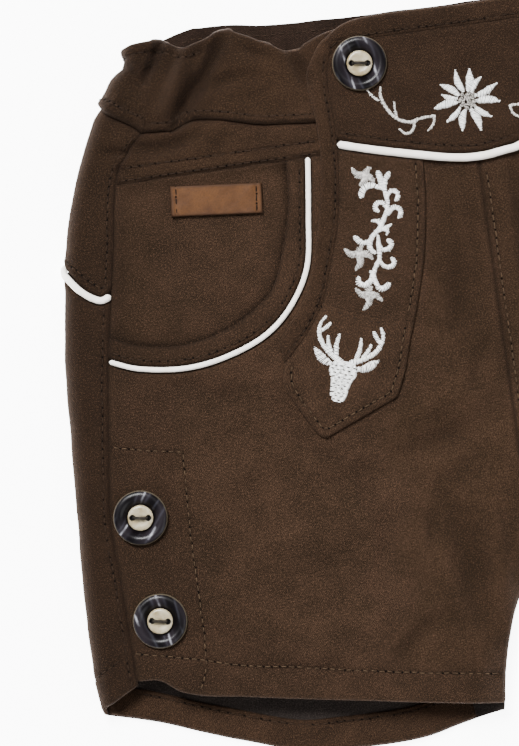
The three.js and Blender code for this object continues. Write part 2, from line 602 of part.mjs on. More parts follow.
function runAt(column, y) {
  if (column <= BACK_STEPS) {
    return lerp(runToMiddle(y), -QUARTER, (column / BACK_STEPS) ** BACK_SPREAD);
  }
  if (column <= BACK_STEPS + FOLD_STEPS) {
    return lerp(-QUARTER, QUARTER, (column - BACK_STEPS) / FOLD_STEPS);
  }
  return lerp(QUARTER, runToSeam(y), (column - BACK_STEPS - FOLD_STEPS) / STRIP_STEPS);
}

// A place round the tube, moved in from the seam where its column is the first or the last.
function endedShort(column, run, gap) {
  const inward = { 0: gap, [COLUMNS]: -gap };
  return run + (inward[column] ?? 0);
}

// The height of an edge of the back at one column, whose own place round depends on it.
function edgeHeight(table, column) {
  let y = follow(table, 'round', 0, 'y');
  for (let pass = 0; pass < 6; pass += 1) {
    const run = runAt(column, y);
    const round = run < 0 ? -run / runToMiddle(y) : run / runToSeam(y);
    y = follow(table, 'round', round, 'y');
  }
  return y;
}

// How much further apart two pieces are cut in height where their seam runs at a slant.
function slant(table, column) {
  const before = Math.max(column - 1, 0);
  const after = Math.min(column + 1, COLUMNS);
  const low = edgeHeight(table, before);
  const high = edgeHeight(table, after);
  return Math.hypot(1, (high - low) / (runAt(after, high) - runAt(before, low)));
}

function addBackPiece(name, material, sign, { top, bottom, topGap, bottomGap, rows, thick }) {
  const grids = [0, -thick].map((out) => Array.from({ length: rows + 1 }, (_, row) => {
    const line = [];
    for (let column = 0; column <= COLUMNS; column += 1) {
      const y = lerp(
        edgeHeight(top, column) - topGap * slant(top, column),
        edgeHeight(bottom, column) + bottomGap * slant(bottom, column), row / rows);
      line.push(around(sign, endedShort(column, runAt(column, y), HALF_GAP), y, out));
    }
    return line;
  }));
  addWall(name, material, grids[0], grids[1]);
}

function addBackSide({ sign, tag }) {
  addBackPiece(`back_leg_${tag}`, SUEDE, sign, {
    top: YOKE_SEAM, bottom: BACK_HEM, topGap: YOKE_CLEAR, bottomGap: 0, rows: 10, thick: CLOTH,
  });
  addBackPiece(`back_yoke_${tag}`, SUEDE, sign, {
    top: BACK_WAIST, bottom: YOKE_SEAM, topGap: HALF_GAP, bottomGap: YOKE_CLEAR, rows: 6, thick: CLOTH,
  });
  const route = [];
  const bulges = [];
  for (let column = 0; column <= COLUMNS; column += 1) {
    const y = edgeHeight(YOKE_SEAM, column);
    const run = endedShort(column, runAt(column, y), GAP);
    // the cord stands proud on the front and lies level inside the cloth underneath
    const out = lerp(-YOKE_CORD - GAP, CORD_PROUD, smooth((run / QUARTER + 1) / 2));
    route.push(around(sign, run, y, out));
    bulges.push(around(sign, run, y, 1).sub(around(sign, run, y, 0)));
  }
  addCord(`yoke_piping_${tag}`, YOKE_CORD, 8, route, bulges);
}

// The waistband round the back, from one side seam to the other.
function addWaistbandBack() {
  const rows = 4;
  const backColumns = 20;
  const last = backColumns + FOLD_STEPS + STRIP_STEPS;
  const runOf = (column, y) => {
    if (column <= backColumns) {
      return lerp(runToMiddle(y), -QUARTER, column / backColumns);
    }
    return runAt(column - backColumns + BACK_STEPS, y);
  };
  const heightOf = (table, column) => {
    let y = follow(table, 'round', 0, 'y');
    for (let pass = 0; pass < 6; pass += 1) {
      const run = runOf(column, y);
      y = follow(table, 'round', run < 0 ? -run / runToMiddle(y) : run / runToSeam(y), 'y');
    }
    return y;
  };
  const grids = [0, -BAND].map((out) => Array.from({ length: rows + 1 }, (_, row) => {
    const half = (sign) => Array.from({ length: last + 1 }, (_unused, column) => {
      const y = lerp(heightOf(BACK_TOP, column), heightOf(BACK_WAIST, column) + HALF_GAP, row / rows);
      return around(sign, runOf(column, y) - (column === last ? HALF_GAP : 0), y, out);
    });
    return [...half(LEFT).reverse(), ...half(RIGHT).slice(1)];
  }));
  addWall('waistband_back', SUEDE_BAND, grids[0], grids[1]);
}

// The turned-up hem that shows inside the back of the leg.
function addBackHem({ sign, tag }) {
  const width = 11;
  const layers = [-CLOTH - 2 * GAP, -2 * CLOTH - 2 * GAP];
  const grids = layers.map((out) => [width, width / 2, 0.4].map((up) => {
    const line = [];
    for (let column = 0; column <= BACK_STEPS; column += 1) {
      const y = edgeHeight(BACK_HEM, column) + up;
      const run = Math.max(runAt(column, y), runToMiddle(y) + INSEAM_RUN * 0.7);
      line.push(around(sign, run, y, out));
    }
    return line;
  }));
  addWall(`back_hem_${tag}`, SUEDE_BAND, grids[0], grids[1]);
}

// ---------------------------------------------------------------- label and buttons
function addLabel() {
  const turn = THREE.MathUtils.degToRad(LABEL.turn);
  const corner = (u, v) => new THREE.Vector2(u * LABEL.width / 2, v * LABEL.height / 2)
    .rotateAround(new THREE.Vector2(), turn).add(new THREE.Vector2(LABEL.x, LABEL.y));
  const grid = [1, 0, -1].map((v) => [-1, -0.5, 0, 0.5, 1].map((u) => corner(u, v)));
  const low = -CLOTH;
  addFrontPiece('leather_label', LEATHER, grid, low, low + LABEL.thick);
}

const BUTTON = { radius: 9, well: 4.75, boss: 4.35, thick: 3.2, holes: 5.5, hole: 0.95, thread: 0.9 };

function rimGeometry() {
  const profile = [
    [BUTTON.well, 0], [7.4, 0], [8.6, 0.7], [BUTTON.radius, 1.7], [8.5, 2.8], [7.4, BUTTON.thick],
    [6, 2.7], [BUTTON.well, 1.5], [BUTTON.well, 0],
  ].map(([r, z]) => new THREE.Vector2(r, z));
  return new THREE.LatheGeometry(profile, 20).rotateX(Math.PI / 2);
}

function bossGeometry() {
  const disc = new THREE.Shape().absarc(0, 0, BUTTON.boss - 0.3, 0, 2 * Math.PI);
  for (const side of [LEFT, RIGHT]) {
    disc.holes.push(new THREE.Path().absarc(side * BUTTON.holes / 2, 0, BUTTON.hole, 0, 2 * Math.PI, true));
  }
  return new THREE.ExtrudeGeometry(disc, { depth: 2.3, curveSegments: 8, bevelEnabled: false });
}

// The thread: a bar over the boss with a leg down each hole.
function threadGeometry() {
  const half = BUTTON.holes / 2;
  const wide = BUTTON.thread / 2;
  const outline = [
    [-half - wide, -0.3], [-half + wide, -0.3], [-half + wide, 2.7], [half - wide, 2.7],
    [half - wide, -0.3], [half + wide, -0.3], [half + wide, 3.1], [half - 0.5, 3.6],
    [-half + 0.5, 3.6], [-half - wide, 3.1],
  ].map(([x, z]) => new THREE.Vector2(x, z));
  return new THREE.ExtrudeGeometry(new THREE.Shape(outline), { depth: BUTTON.thread, bevelEnabled: false })
    .translate(0, 0, -wide).rotateX(Math.PI / 2);
}

function addButton({ name, x, y, turn, on }) {
  const seat = (on === 'flap' ? ON_FRONT.high : 0) + 2 * GAP;
  const face = onFront(x, y, 0);
  const normal = onFront(x, y, 1).sub(face);
  const frame = new THREE.Group();
  frame.position.copy(face).addScaledVector(normal, seat);
  frame.quaternion.setFromUnitVectors(new THREE.Vector3(0, 0, 1), normal);
  frame.quaternion.multiply(new THREE.Quaternion().setFromAxisAngle(
    new THREE.Vector3(0, 0, 1), THREE.MathUtils.degToRad(turn)));
  for (const [part, shape, material] of [
    ['rim', rimGeometry(), HORN],
    ['boss', bossGeometry(), CREAM],
    ['thread', threadGeometry(), THREAD],
  ]) {
    const mesh = new THREE.Mesh(shape, material);
    mesh.name = `button_${part}_${name}`;
    frame.add(mesh);
  }
  pieces.add(frame);
}

// ---------------------------------------------------------------- the garment
const flapLow = addFlap();
for (const side of sides) {
  addFrontLeg(side);
  addPocket(side);
  addHipBand(side);
  addWaistbandFront(side);
  addSideBand(side);
  addStrap(side, flapLow);
  addBackSide(side);
  addBackHem(side);
}
addWaistbandBack();
addLabel();
BUTTONS.forEach(addButton);

// The origin is under the middle of the garment, on the surface.
const box = new THREE.Box3().setFromObject(garment);
const middle = box.getCenter(new THREE.Vector3());
pieces.position.set(-middle.x, -middle.y, -box.min.z);

export default garment;
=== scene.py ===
import math

import bmesh
import bpy
import numpy as np
from mathutils import Matrix, Vector
from mathutils.geometry import delaunay_2d_cdt


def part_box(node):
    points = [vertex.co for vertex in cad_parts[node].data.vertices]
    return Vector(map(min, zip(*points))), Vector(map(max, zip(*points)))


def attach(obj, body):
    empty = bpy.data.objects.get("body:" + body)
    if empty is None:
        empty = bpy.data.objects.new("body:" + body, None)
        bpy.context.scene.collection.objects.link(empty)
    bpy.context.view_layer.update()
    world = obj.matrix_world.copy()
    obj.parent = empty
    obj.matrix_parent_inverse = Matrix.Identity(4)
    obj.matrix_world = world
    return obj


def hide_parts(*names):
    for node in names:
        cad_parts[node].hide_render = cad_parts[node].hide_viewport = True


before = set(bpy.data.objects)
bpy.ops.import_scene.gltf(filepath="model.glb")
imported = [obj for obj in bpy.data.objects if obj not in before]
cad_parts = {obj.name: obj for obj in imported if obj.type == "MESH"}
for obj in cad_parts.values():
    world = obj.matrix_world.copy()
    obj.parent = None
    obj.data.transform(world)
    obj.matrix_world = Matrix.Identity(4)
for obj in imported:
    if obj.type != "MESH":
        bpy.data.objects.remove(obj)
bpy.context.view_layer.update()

# ---------------------------------------------------------------- driving sizes
CLOTH = 1.2            # one layer of the suede-like cloth
BAND = 2.0             # folded waistband
GAP = 0.3              # between pieces, and between layers
FOLD_RADIUS = 5.6      # side fold, where the back wraps round to the front
LOFT = 1.6             # how far the front swells above its side folds
LOFT_RUN = 45.0        # how far in from the fold it gets there
CROTCH = -135.0        # where the inseams meet
INSEAM_RUN = 12.0      # how far from an inseam the front comes down and the back goes up
FRONT_AT_INSEAM = 7.3  # height of the front's outer face there
BACK_AT_INSEAM = 4.1   # height of the back's outer face there
HIP_SEAM = 7.3         # lower seam of the hip band
POCKET_CORD = 0.86     # radii of the white piping cords
FLAP_CORD = 1.3
YOKE_CORD = 1.15
CORD_UP = {"pocket": 0.35, "yoke": 0.3}    # how far a cord's middle stands above the cloth
CORD_CLEAR = 0.05      # between a cord and the cloth beside it
UNDERSIDE = 0.12       # the lowest that the cloth comes
THREAD_LOW = UNDERSIDE - 0.07  # the lowest that the middle of a thread comes
HOLE_LOW = UNDERSIDE - 0.02    # and a needle hole
FLAP_LAYER = GAP + CLOTH       # outer face of the flap, straps and patches above the front
BUTTON_SEAT = 2 * GAP
STITCH = 2.7           # from one stitch to the next
STITCH_THREAD = 0.16   # radius of the sewing thread
NEEDLE_HOLE = 0.36     # radius of the dip that the needle leaves at a stitch's end
# how far rows of stitches run from the edge they follow
ROW = {"pocket": 2.0, "flap": 3.9, "flap band": 1.3, "strap": 2.5, "strap cross": 1.4,
       "seam": 2.1, "hem": 10, "turn-up": 1.6, "yoke": 4.0, "back waist top": 3.4,
       "front waist top": 3.6, "waist seam": 2.6, "hip low": 0.9, "hip high": 4.9}
# x, or y on a seam that runs down, at both ends of the rows that are shorter than their edge
ROW_ENDS = {"hip low": (-118, -52), "hip high": (-116, -52), "front waist top": (-103, -85),
            "waist seam": (-108, -50), "centre front": (-6, -132), "leg side": (-32, -157),
            "yoke side": (22, -25), "inside waist": (-108, 108)}
LEFT, RIGHT = -1, 1
SIDES = ((LEFT, "L"), (RIGHT, "R"))
BUTTON_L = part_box("button_rim_flap_L")
BUTTON_Y = 35.3
SHIFT = np.array([0.0, (BUTTON_L[0].y + BUTTON_L[1].y) * 500 - BUTTON_Y, 0.0])

# ---------------------------------------------------------------- the cut, in short tables
# (y, x): half the width between the side folds, the side seams, and the inseams.
SIDE_FOLD = [(-190, 143), (-165, 147.3), (-156, 148.7), (-126, 148.5), (-87, 146.3), (-54, 144),
             (-28, 141.3), (-5, 137), (17, 129.4), (33.4, 121), (38.4, 118), (42.6, 115),
             (45.8, 110.9), (50.8, 111.3), (55, 110)]
SIDE_SEAM = [(-190, 133), (-155, 134.7), (-121, 135.4), (-107, 136), (-72, 132.4), (-43, 128.3),
             (-14, 122.8), (8.7, 118.6), (15, 115.6), (23, 108.4), (36, 104), (55, 100)]
INSEAM = [(-190, 17.5), (-180, 16), (-160, 12), (-145, 6), (CROTCH, 0)]
# (x, y): edges that run across the front, from the middle out to the side seam.
FRONT_HEM = [(15.6, -179.2), (37.3, -175.9), (60, -172), (82.6, -168.2), (98.7, -165.3),
             (121.2, -160.4), (127, -156.2), (134.7, -155.2)]
FRONT_WAIST = [(0, 17), (51.4, 18.4), (61.2, 19.4), (69, 20.2), (84.2, 24.1), (92.8, 25),
               (100, 22.6), (108.4, 23)]
FRONT_TOP = [(0, 48.5), (42.3, 47.5), (51, 44.6), (54.8, 42.6), (63.4, 46.1), (70, 49.8),
             (77, 52.4), (85, 50.2), (91.2, 48.9), (97, 51.6), (102, 52.6)]
# (round, y): edges of the back. round is -1 at the centre back, 0 on the side fold and 1 at the
# side seam on the front.
BACK_HEM = [(-1, -181.5), (-0.89, -184.5), (-0.8, -187.2), (-0.56, -187.5), (-0.33, -179.5),
            (-0.25, -175.6), (-0.14, -169.8), (0, -165), (0.5, -161), (1, -156.6)]
YOKE_SEAM = [(-1, 0), (-0.6, -1.5), (-0.3, -6), (-0.14, -11), (0, -18), (0.22, -21.5),
             (0.46, -25.8), (0.67, -28.6), (0.85, -29.8), (1, -28.7)]
BACK_WAIST = [(-1, 25), (-0.7, 25.5), (-0.4, 27), (-0.15, 30.5), (0, 33.4), (0.45, 29.3),
              (0.8, 25.7), (1, 23)]
BACK_TOP = [(-1, 51.2), (-0.45, 52.9), (-0.3, 54.9), (-0.24, 55), (-0.19, 53.9), (-0.14, 52.4),
            (-0.07, 51.4), (0, 51.1), (0.5, 52.2), (1, 52.6)]
HEM_INSIDE = FRONT_HEM[0][1]           # y where the front hem meets the inseam
HEM_SIDE = FRONT_HEM[-1][1]            # y where it meets the side seam
WAIST_SIDE = FRONT_WAIST[-1]           # where the waistband's seam meets the side seam
BAND_MIDDLE = 38.0                     # y half way up the waistband at the side
# Outlines of what is sewn on the viewer's left half.
POCKET_SEAM = [(-129.2, -50), (-119.7, -53.7), (-105, -55.6), (-91.2, -53.8), (-77.4, -48.6),
               (-67.5, -40), (-60.6, -28), (-57.9, -12), (-55.4, HIP_SEAM)]
POCKET_EDGE = [(-127.6, -42.3), (-119.1, -46.2), (-106, -48), (-93, -46), (-81.6, -40.9),
               (-72.6, -33.2), (-67.3, -20), (-63.8, -7), (-62.7, HIP_SEAM)]
FLAP_INNER = [(0, 43), (-34, 43), (-40.5, 41.8), (-44.3, 38), (-45.6, 31), (-45.3, 18), (-45.6, 5),
              (-48.2, -13.4), (-53.8, -31.5), (-57.3, -40.6), (-63.2, -49.4), (-72.2, -58.6)]
FLAP_OUTER = [(0, 50), (-32, 50.2), (-43.6, 45.8), (-49.2, 40), (-52.2, 31), (-51.2, 18),
              (-51.4, 5), (-54.6, -13), (-60.4, -33), (-65.4, -41.8), (-69.6, -46.8), (-73, -51.2)]
FLAP_CORNER = 0.3      # the top band's share of the flap's border
FLAP_POINT = [(-46, 10), (-33.8, 6.7), (-16.2, 2.3), (-5.3, 0.2), (0, -0.2)]
STRAP_INSIDE = [(-18.2, 2.8), (-19.2, -11.9), (-22, -29.4), (-25, -40.5), (-28.3, -51)]
STRAP_CROSS = [(-57.3, -40.6), (-47.8, -45.3), (-39, -48.4), (-28.3, -51)]
PATCH_TAIL = [(-72.2, -58.6), (-73.2, -62.5), (-72.6, -68.2), (-65.2, -82.2), (-62, -84.7)]
PATCH_INSIDE = [(-28.3, -51), (-30.5, -57), (-33.5, -66.5), (-37.3, -74.6)]
HEM_ROW = [(-134.5, -146), (-121, -149), (-111.7, -151.3), (-98.7, -154.9), (-81, -158),
           (-60, -162), (-37, -166), (-14, -169.6)]
PLACKET_TOP = [(-132, -78), (-121, -80.6), (-109.4, -82.8)]
PLACKET_SIDE = [(-109.4, -82.8), (-110, -95), (-110.8, -115), (-110.7, -123), (-111.2, -150.6),
                (-114.6, -161)]
POCKET_SIDE = POCKET_SEAM[0][1]        # y where the pocket's piping meets the side seam
LABEL = {"x": -87, "y": -2.3, "width": 30, "height": 10, "thick": 1.4, "turn": -5.6}
# name, x, y, turn in degrees, height of the cloth under it, and how far the horn's grain is turned
BUTTONS = [
    ("flap_L", -34.4, BUTTON_Y, -8, FLAP_LAYER, 4), ("flap_R", 34.4, BUTTON_Y, 14, FLAP_LAYER, 38),
    ("leg_upper_L", -126.1, -102.1, -8, 0, 58), ("leg_lower_L", -124.4, -136.5, -10, 0, 6),
    ("leg_upper_R", 126.1, -102.1, 20, 0, -30), ("leg_lower_R", 124.4, -136.5, -3, 0, 25),
]

# Soft troughs (depth above 0) and ridges: x and y of both ends, half width, depth, sideways bow.
FRONT_CREASES = [
    # waistband, viewer's left, then right
    (-76.0, 53, -98.3, 22.0, 4.0, 3.7, -0.9), (-72, 54, -92, 21, 6.5, 0.7, -1.5),
    (-87.4, 52, -102, 26, 4.4, -3.0, -0.6), (-96.8, 53.5, -106, 38, 3.0, 2.9, 0),
    (-113.5, 43.4, -101, 48.6, 2.2, 1.9, -0.3), (-89, 33.2, -65, 35.5, 4.0, 1.5, -1.8),
    (-87.6, 40, -99.4, 23, 3.4, 2.2, -0.4), (-72, 46, -64, 41, 3.0, 1.2, 0),
    (-57, 46, -51.2, 29, 3.8, 2.6, 0), (-77, 54, -70, 30, 6, -1.2, 0),
    (-64, 52, -60, 40, 3.4, -1.0, 0), (-108, 38, -104, 26, 4.5, -1.0, 0),
    (96, 24, 84, 56, 6, 3.6, 1), (103, 28, 98, 56, 4.5, 2.4, 0), (74, 24, 78, 56, 6, 1.8, -1),
    (58.5, 52, 57, 24, 4, 2.8, 0), (90, 25, 92, 50, 4.4, -2.2, 0), (66, 30, 84, 34, 4, 1.1, 1),
    # hip bands and the tops of the side strips
    (-113, 18.4, -89, 20.6, 4.0, 3.0, 2.2), (-124, 19.8, -112.5, 16.6, 2.3, 2.1, 0.3),
    (-80, 21, -86.8, 10.5, 3.2, 1.0, 0), (-119, 13, -111, 8, 3, 0.9, 0),
    (112, 20, 97, 12.6, 3.4, 1.6, 1), (124, 15, 114, 17.5, 1.9, 1.2, 0),
    (88, 21, 84, 9, 3.6, 1.0, 0),
    # between the straps
    (-11, 8, -13, -72, 10, 1.7, 0), (11, 8, 13, -72, 10, 1.5, 0),
    (-11.8, -30, -14.6, -58, 3.6, 1.6, 0), (-8.5, 0, -9.5, -34, 3.4, -1.0, 0),
    (-4.2, -4, -5, -58, 2.6, 0.8, 0), (-12.4, -76, -5.6, -58, 3.4, 1.5, 0),
    (-15, 1, -15.4, -30, 2.6, 0.8, 0), (12, 2, 11, -60, 3.6, 1.3, 0),
    (7.4, 0, 7.6, -66, 3.4, -1.0, 0), (13.6, -74, 6, -56, 3.4, 1.3, 0),
    # legs
    (-27, -94, -17, -156, 13, 1.8, 0), (-34, -74, -3, -118, 12, 0.9, 0),
    (-23, -112, -19, -160, 6.4, 2.3, -1.2), (-12, -104, -10.5, -160, 5, -1.6, 0),
    (-30, -112, -33.4, -128, 3.4, 1.5, 0), (-30, -126, -27, -150, 4.0, -1.2, 0),
    (-51, -164, -30, -145, 5, 1.8, -1), (-44, -170, -28, -160, 4, -0.9, 0),
    (-23.4, -157.5, -24.5, -169.5, 1.7, 1.3, 0), (-44, -95, -1, -81, 7.5, 1.9, 1.5),
    (-40, -84, -12, -74, 5, -1.0, 0), (-84, -120, -30, -104, 12, -1.6, 0),
    (-70, -100, -46, -96, 6, 0.9, 0), (-66, -138, -44, -120, 7, 1.0, 1),
    (-96, -140, -62, -150, 9, -1.0, 0), (-92, -160, -60, -158, 6, 0.8, 0),
    (-116, -62, -80, -71, 8, 1.1, 0), (-104, -98, -76, -86, 7, -1.0, 0),
    (-120, -88, -114, -112, 5, 0.7, 0), (-112.6, -112, -114.6, -124, 2.6, 1.1, 0),
    (-108, -112, -100, -128, 4, 0.8, 0), (-106, -140, -98, -156, 4, 0.8, 0),
    (24, -106, 29, -156, 6, 2.4, 1.5), (15, -100, 14, -156, 5.4, -1.3, 0),
    (62, -120, 55, -166, 12, -1.3, 0), (88, -124, 20, -96, 12, -1.5, 0),
    (70, -98, 16, -80, 8, 1.3, 1), (104, -136, 70, -150, 9, 1.1, 0),
    (118, -70, 74, -76, 8, 1.0, 0), (46, -142, 38, -170, 5, 1.3, 0),
    (34, -110, 38, -130, 3.6, 1.2, 0),
    # pocket panels
    (-112, -10, -96, -34, 7, 0.7, 0), (-78, -14, -86, -34, 6, -0.6, 0),
    (110, -12, 98, -34, 7, 0.7, 0),
]
BACK_CREASES = [
    (-96, 26, -90, 56, 7, 1, 0), (-70, 24, -73, 56, 7, 0.9, 0), (-47, 22, -45, 55, 8, 1, 0),
    (-22, 22, -19, 55, 7, 1, 0), (4, 22, 2, 55, 8, 1, 0), (28, 22, 31, 55, 7, 0.9, 0),
    (55, 22, 52, 55, 8, 1, 0), (80, 24, 84, 56, 7, 0.9, 0),
]


# ---------------------------------------------------------------- curves through the tables
LINE_STEP = 0.4        # between points along the outlines as they are drawn
ROUND_STEP = 0.5       # and along the edges that go round the back


def smooth(t):
    t = np.clip(t, 0, 1)
    return t * t * (3 - 2 * t)


def follow(table, place):
    """The value beside each place in a table whose first column rises, eased through its rows."""
    keys, values = np.array(table, float).T
    place = np.asarray(place, float)
    slopes = np.diff(values) / np.diff(keys)
    leans = np.where(slopes[1:] * slopes[:-1] > 0, (slopes[1:] + slopes[:-1]) / 2, 0)
    lean = np.concatenate([slopes[:1], leans, slopes[-1:]])
    row = np.searchsorted(keys[1:-1], place)
    span = keys[row + 1] - keys[row]
    t = np.clip((place - keys[row]) / span, 0, 1)
    rise = values[row + 1] - values[row]
    return (values[row] + rise * t * t * (3 - 2 * t)
            + span * (lean[row] * t * (1 - t) ** 2 - lean[row + 1] * t * t * (1 - t)))


def fold_at(y):
    return follow(SIDE_FOLD, y)


def seam_at(y):
    return follow(SIDE_SEAM, y)


def inner_at(y):
    return np.where(np.asarray(y) >= CROTCH, 0, follow(INSEAM, np.minimum(y, CROTCH)))


def across(table, x):
    return follow(table, np.abs(x))


def spaced(line, step):
    """The same line with points about one step apart."""
    line = np.asarray(line, float)
    run = np.concatenate([[0], np.cumsum(np.linalg.norm(np.diff(line, axis=0), axis=1))])
    count = max(int(round(run[-1] / step)), 1)
    places = np.linspace(0, run[-1], count + 1)
    return np.column_stack([np.interp(places, run, line[:, k]) for k in range(line.shape[1])])


def curve(points):
    """A smooth line through an outline's points."""
    p = np.array(points, float)
    ends = np.vstack([p[:1], p, p[-1:]])
    t = np.linspace(0, len(p) - 1, 60 * (len(p) - 1) + 1)
    i = np.minimum(t.astype(int), len(p) - 2)
    w = (t - i)[:, None]
    before, here, after, beyond = (ends[i + k] for k in range(4))
    leave, arrive = (after - before) / 2, (beyond - here) / 2
    line = ((2 * here - 2 * after + leave + arrive) * w ** 3
            + (3 * after - 3 * here - 2 * leave - arrive) * w ** 2 + leave * w + here)
    return spaced(line, LINE_STEP)


def straight(*points):
    return spaced(np.array(points, float), LINE_STEP)


def portion(line, start, end):
    """The stretch of an evenly spaced line between two shares of its length."""
    last = len(line) - 1
    return line[int(round(start * last)):int(round(end * last)) + 1]


def mirrored(line):
    return np.asarray(line) * np.array([-1.0, 1.0])


def rotation(degrees):
    """The matrix that turns rows of points anticlockwise, as points @ rotation(degrees)."""
    turn = math.radians(degrees)
    return np.array([[math.cos(turn), math.sin(turn)], [-math.sin(turn), math.cos(turn)]])


def normals_of(line):
    """Unit vectors square to a line, to its left as it runs."""
    along = np.gradient(line, axis=0)
    along /= np.maximum(np.linalg.norm(along, axis=1), 1e-9)[:, None]
    return np.column_stack([-along[:, 1], along[:, 0]])


def beside(line, distance):
    """A line run beside another, at a distance to its left."""
    return line + normals_of(line) * np.reshape(distance, (-1, 1))


# ---------------------------------------------------------------- the lie of the cloth
def crease_depth(creases, x, y):
    """How deep the creases of a table are at some points; ridges are below 0."""
    total = np.zeros_like(x)
    for x0, y0, x1, y1, width, depth, bow in creases:
        length = math.hypot(x1 - x0, y1 - y0)
        along = ((x - x0) * (x1 - x0) + (y - y0) * (y1 - y0)) / length ** 2
        along = np.clip(along, 0, 1)
        off = ((x - x0) * (y1 - y0) - (y - y0) * (x1 - x0)) / length
        off = np.abs(off - 4 * bow * along * (1 - along))
        ends = np.sin(np.pi * along) ** 0.6
        total += depth * ends * 0.5 * (1 + np.cos(np.pi * np.minimum(off / width, 1)))
    return total


FRONT_DIP = (-100, 36)     # y where the front starts to come down to the inseam, and the run
BACK_RISE = (-112, 24)     # y where the back starts to go up to it, and the run
CREASE_END = 5.0           # creases die away this near the side folds


def inseam_roll(x, y):
    """1 at the inseam, easing to 0 where its pull ends."""
    return 1 - np.sin(0.5 * np.pi * np.clip((np.abs(x) - inner_at(y)) / INSEAM_RUN, 0, 1))


def front_height(x, y):
    """Height of the front's outer face above the surface that the garment lies on."""
    from_fold = fold_at(y) - FOLD_RADIUS - np.abs(x)
    flat = 2 * FOLD_RADIUS + LOFT * smooth(from_fold / LOFT_RUN)
    dip = (flat - FRONT_AT_INSEAM) * smooth((FRONT_DIP[0] - y) / FRONT_DIP[1]) * inseam_roll(x, y)
    return flat - dip - crease_depth(FRONT_CREASES, x, y) * smooth(from_fold / CREASE_END)


# Painted shade: how far the cloth's colour is darkened in its troughs and towards its side folds.
DEEP_TROUGH = 3.2                          # depth at which a trough is fully shaded
TROUGH_SHADES = (0.95, 0.8)                # above the hip seam, and below it
SIDE_SHADES = ((0.85, 95), (0.5, 34))      # how dark, and how far in from the side fold it reaches
FRONT_FACE = 2 * FOLD_RADIUS - 5.5         # anything higher belongs to the front


def painted_shade_of(points):
    """How much painted shade darkens the colour of points of the garment: deep in a trough, or near
    a side fold.
    """
    x, y, z = points.T
    deep = np.clip(crease_depth(FRONT_CREASES, x, y) / DEEP_TROUGH, 0, 1)
    front = deep * np.where(y > HIP_SEAM, *TROUGH_SHADES)
    from_side = fold_at(y) - np.abs(x)
    side = sum(dark * (1 - smooth(from_side / reach)) for dark, reach in SIDE_SHADES)
    return np.where(z > FRONT_FACE, front, 0) + side * smooth((z - 3) / 8)


def back_height(x, y):
    """Height of the back's outer face, which lies flat but for its creases and the inseam."""
    from_fold = fold_at(y) - FOLD_RADIUS - np.abs(x)
    rise = BACK_AT_INSEAM * smooth((BACK_RISE[0] - y) / BACK_RISE[1]) * inseam_roll(x, y)
    return rise + crease_depth(BACK_CREASES, x, y) * smooth(from_fold / CREASE_END)


def on_face(height, up, x, y, out):
    """Points on a face of the cloth, moved out square to it."""
    step = 0.5             # over which the slope is measured
    slope_x = (height(x + step, y) - height(x - step, y)) / (2 * step)
    slope_y = (height(x, y + step) - height(x, y - step)) / (2 * step)
    normal = np.column_stack([-slope_x, -slope_y, np.ones_like(x)])
    normal *= up / np.linalg.norm(normal, axis=1)[:, None]
    return np.column_stack([x, y, height(x, y)]) + normal * np.reshape(out, (-1, 1))


def on_front(points, out):
    out = np.broadcast_to(out, len(points))
    return on_face(front_height, 1, points[:, 0], points[:, 1], out)


on_front.unrolled = np.asarray    # the plane in which the swelling of the cloth is worked out
on_front.way = 1                  # which way its twill runs in the pattern's plane


QUARTER = FOLD_RADIUS * math.pi / 2


def run_to_seam(y):
    """Distance round the tube from the side fold's middle to the side seam on the front."""
    return QUARTER + fold_at(y) - FOLD_RADIUS - seam_at(y)


def run_to_middle(y):
    """The same to the centre back or the inseam, below 0 as it runs the other way."""
    return -(QUARTER + fold_at(y) - FOLD_RADIUS - inner_at(y))


def on_tube(side):
    """Points given as run, the distance round one side from its fold, and y."""
    def place(points, out):
        run, y = points.T
        out = np.broadcast_to(out, len(points)).astype(float)
        centre = fold_at(y) - FOLD_RADIUS
        x = side * (centre - (np.abs(run) - QUARTER))
        angle = run / FOLD_RADIUS
        reach = FOLD_RADIUS + out
        turned = np.column_stack([side * (centre + reach * np.cos(angle)), y,
                                  FOLD_RADIUS + reach * np.sin(angle)])
        above = on_face(front_height, 1, x, y, out)
        below = on_face(back_height, -1, x, y, out)
        over, under = (run >= QUARTER)[:, None], (run <= -QUARTER)[:, None]
        return np.where(over, above, np.where(under, below, turned))

    def unrolled(points):
        run, y = np.asarray(points).T
        return np.column_stack([side * (fold_at(y) - FOLD_RADIUS + QUARTER - run), y])

    place.unrolled = unrolled
    place.way = -side
    return place


def soft_noise(u, v, size, seed):
    """Smooth uneven waves from -1 to 1, about one size across."""
    cells = 66
    lattice = np.random.default_rng(seed).uniform(-1, 1, (cells + 1, cells + 1))
    a, b = np.asarray(u) / size + 19.3, np.asarray(v) / size + 23.7
    i, j = np.floor(a).astype(int), np.floor(b).astype(int)
    s, t = smooth(a - i), smooth(b - j)
    i, j = i % cells, j % cells
    low = lattice[i, j] * (1 - s) + lattice[i + 1, j] * s
    high = lattice[i, j + 1] * (1 - s) + lattice[i + 1, j + 1] * s
    return low * (1 - t) + high * t


def undulation(points):
    """How the cloth swells and sinks between its creases, in millimetres."""
    u, v = points.T
    a, b = 0.94 * u + 0.34 * v, 0.94 * v - 0.34 * u
    return (0.42 * soft_noise(u, v, 29, 1) + 0.26 * soft_noise(a / 2.4, b, 10, 2)
            + 0.12 * soft_noise(u, v, 8, 4) + 0.06 * soft_noise(u, v, 4.3, 3))


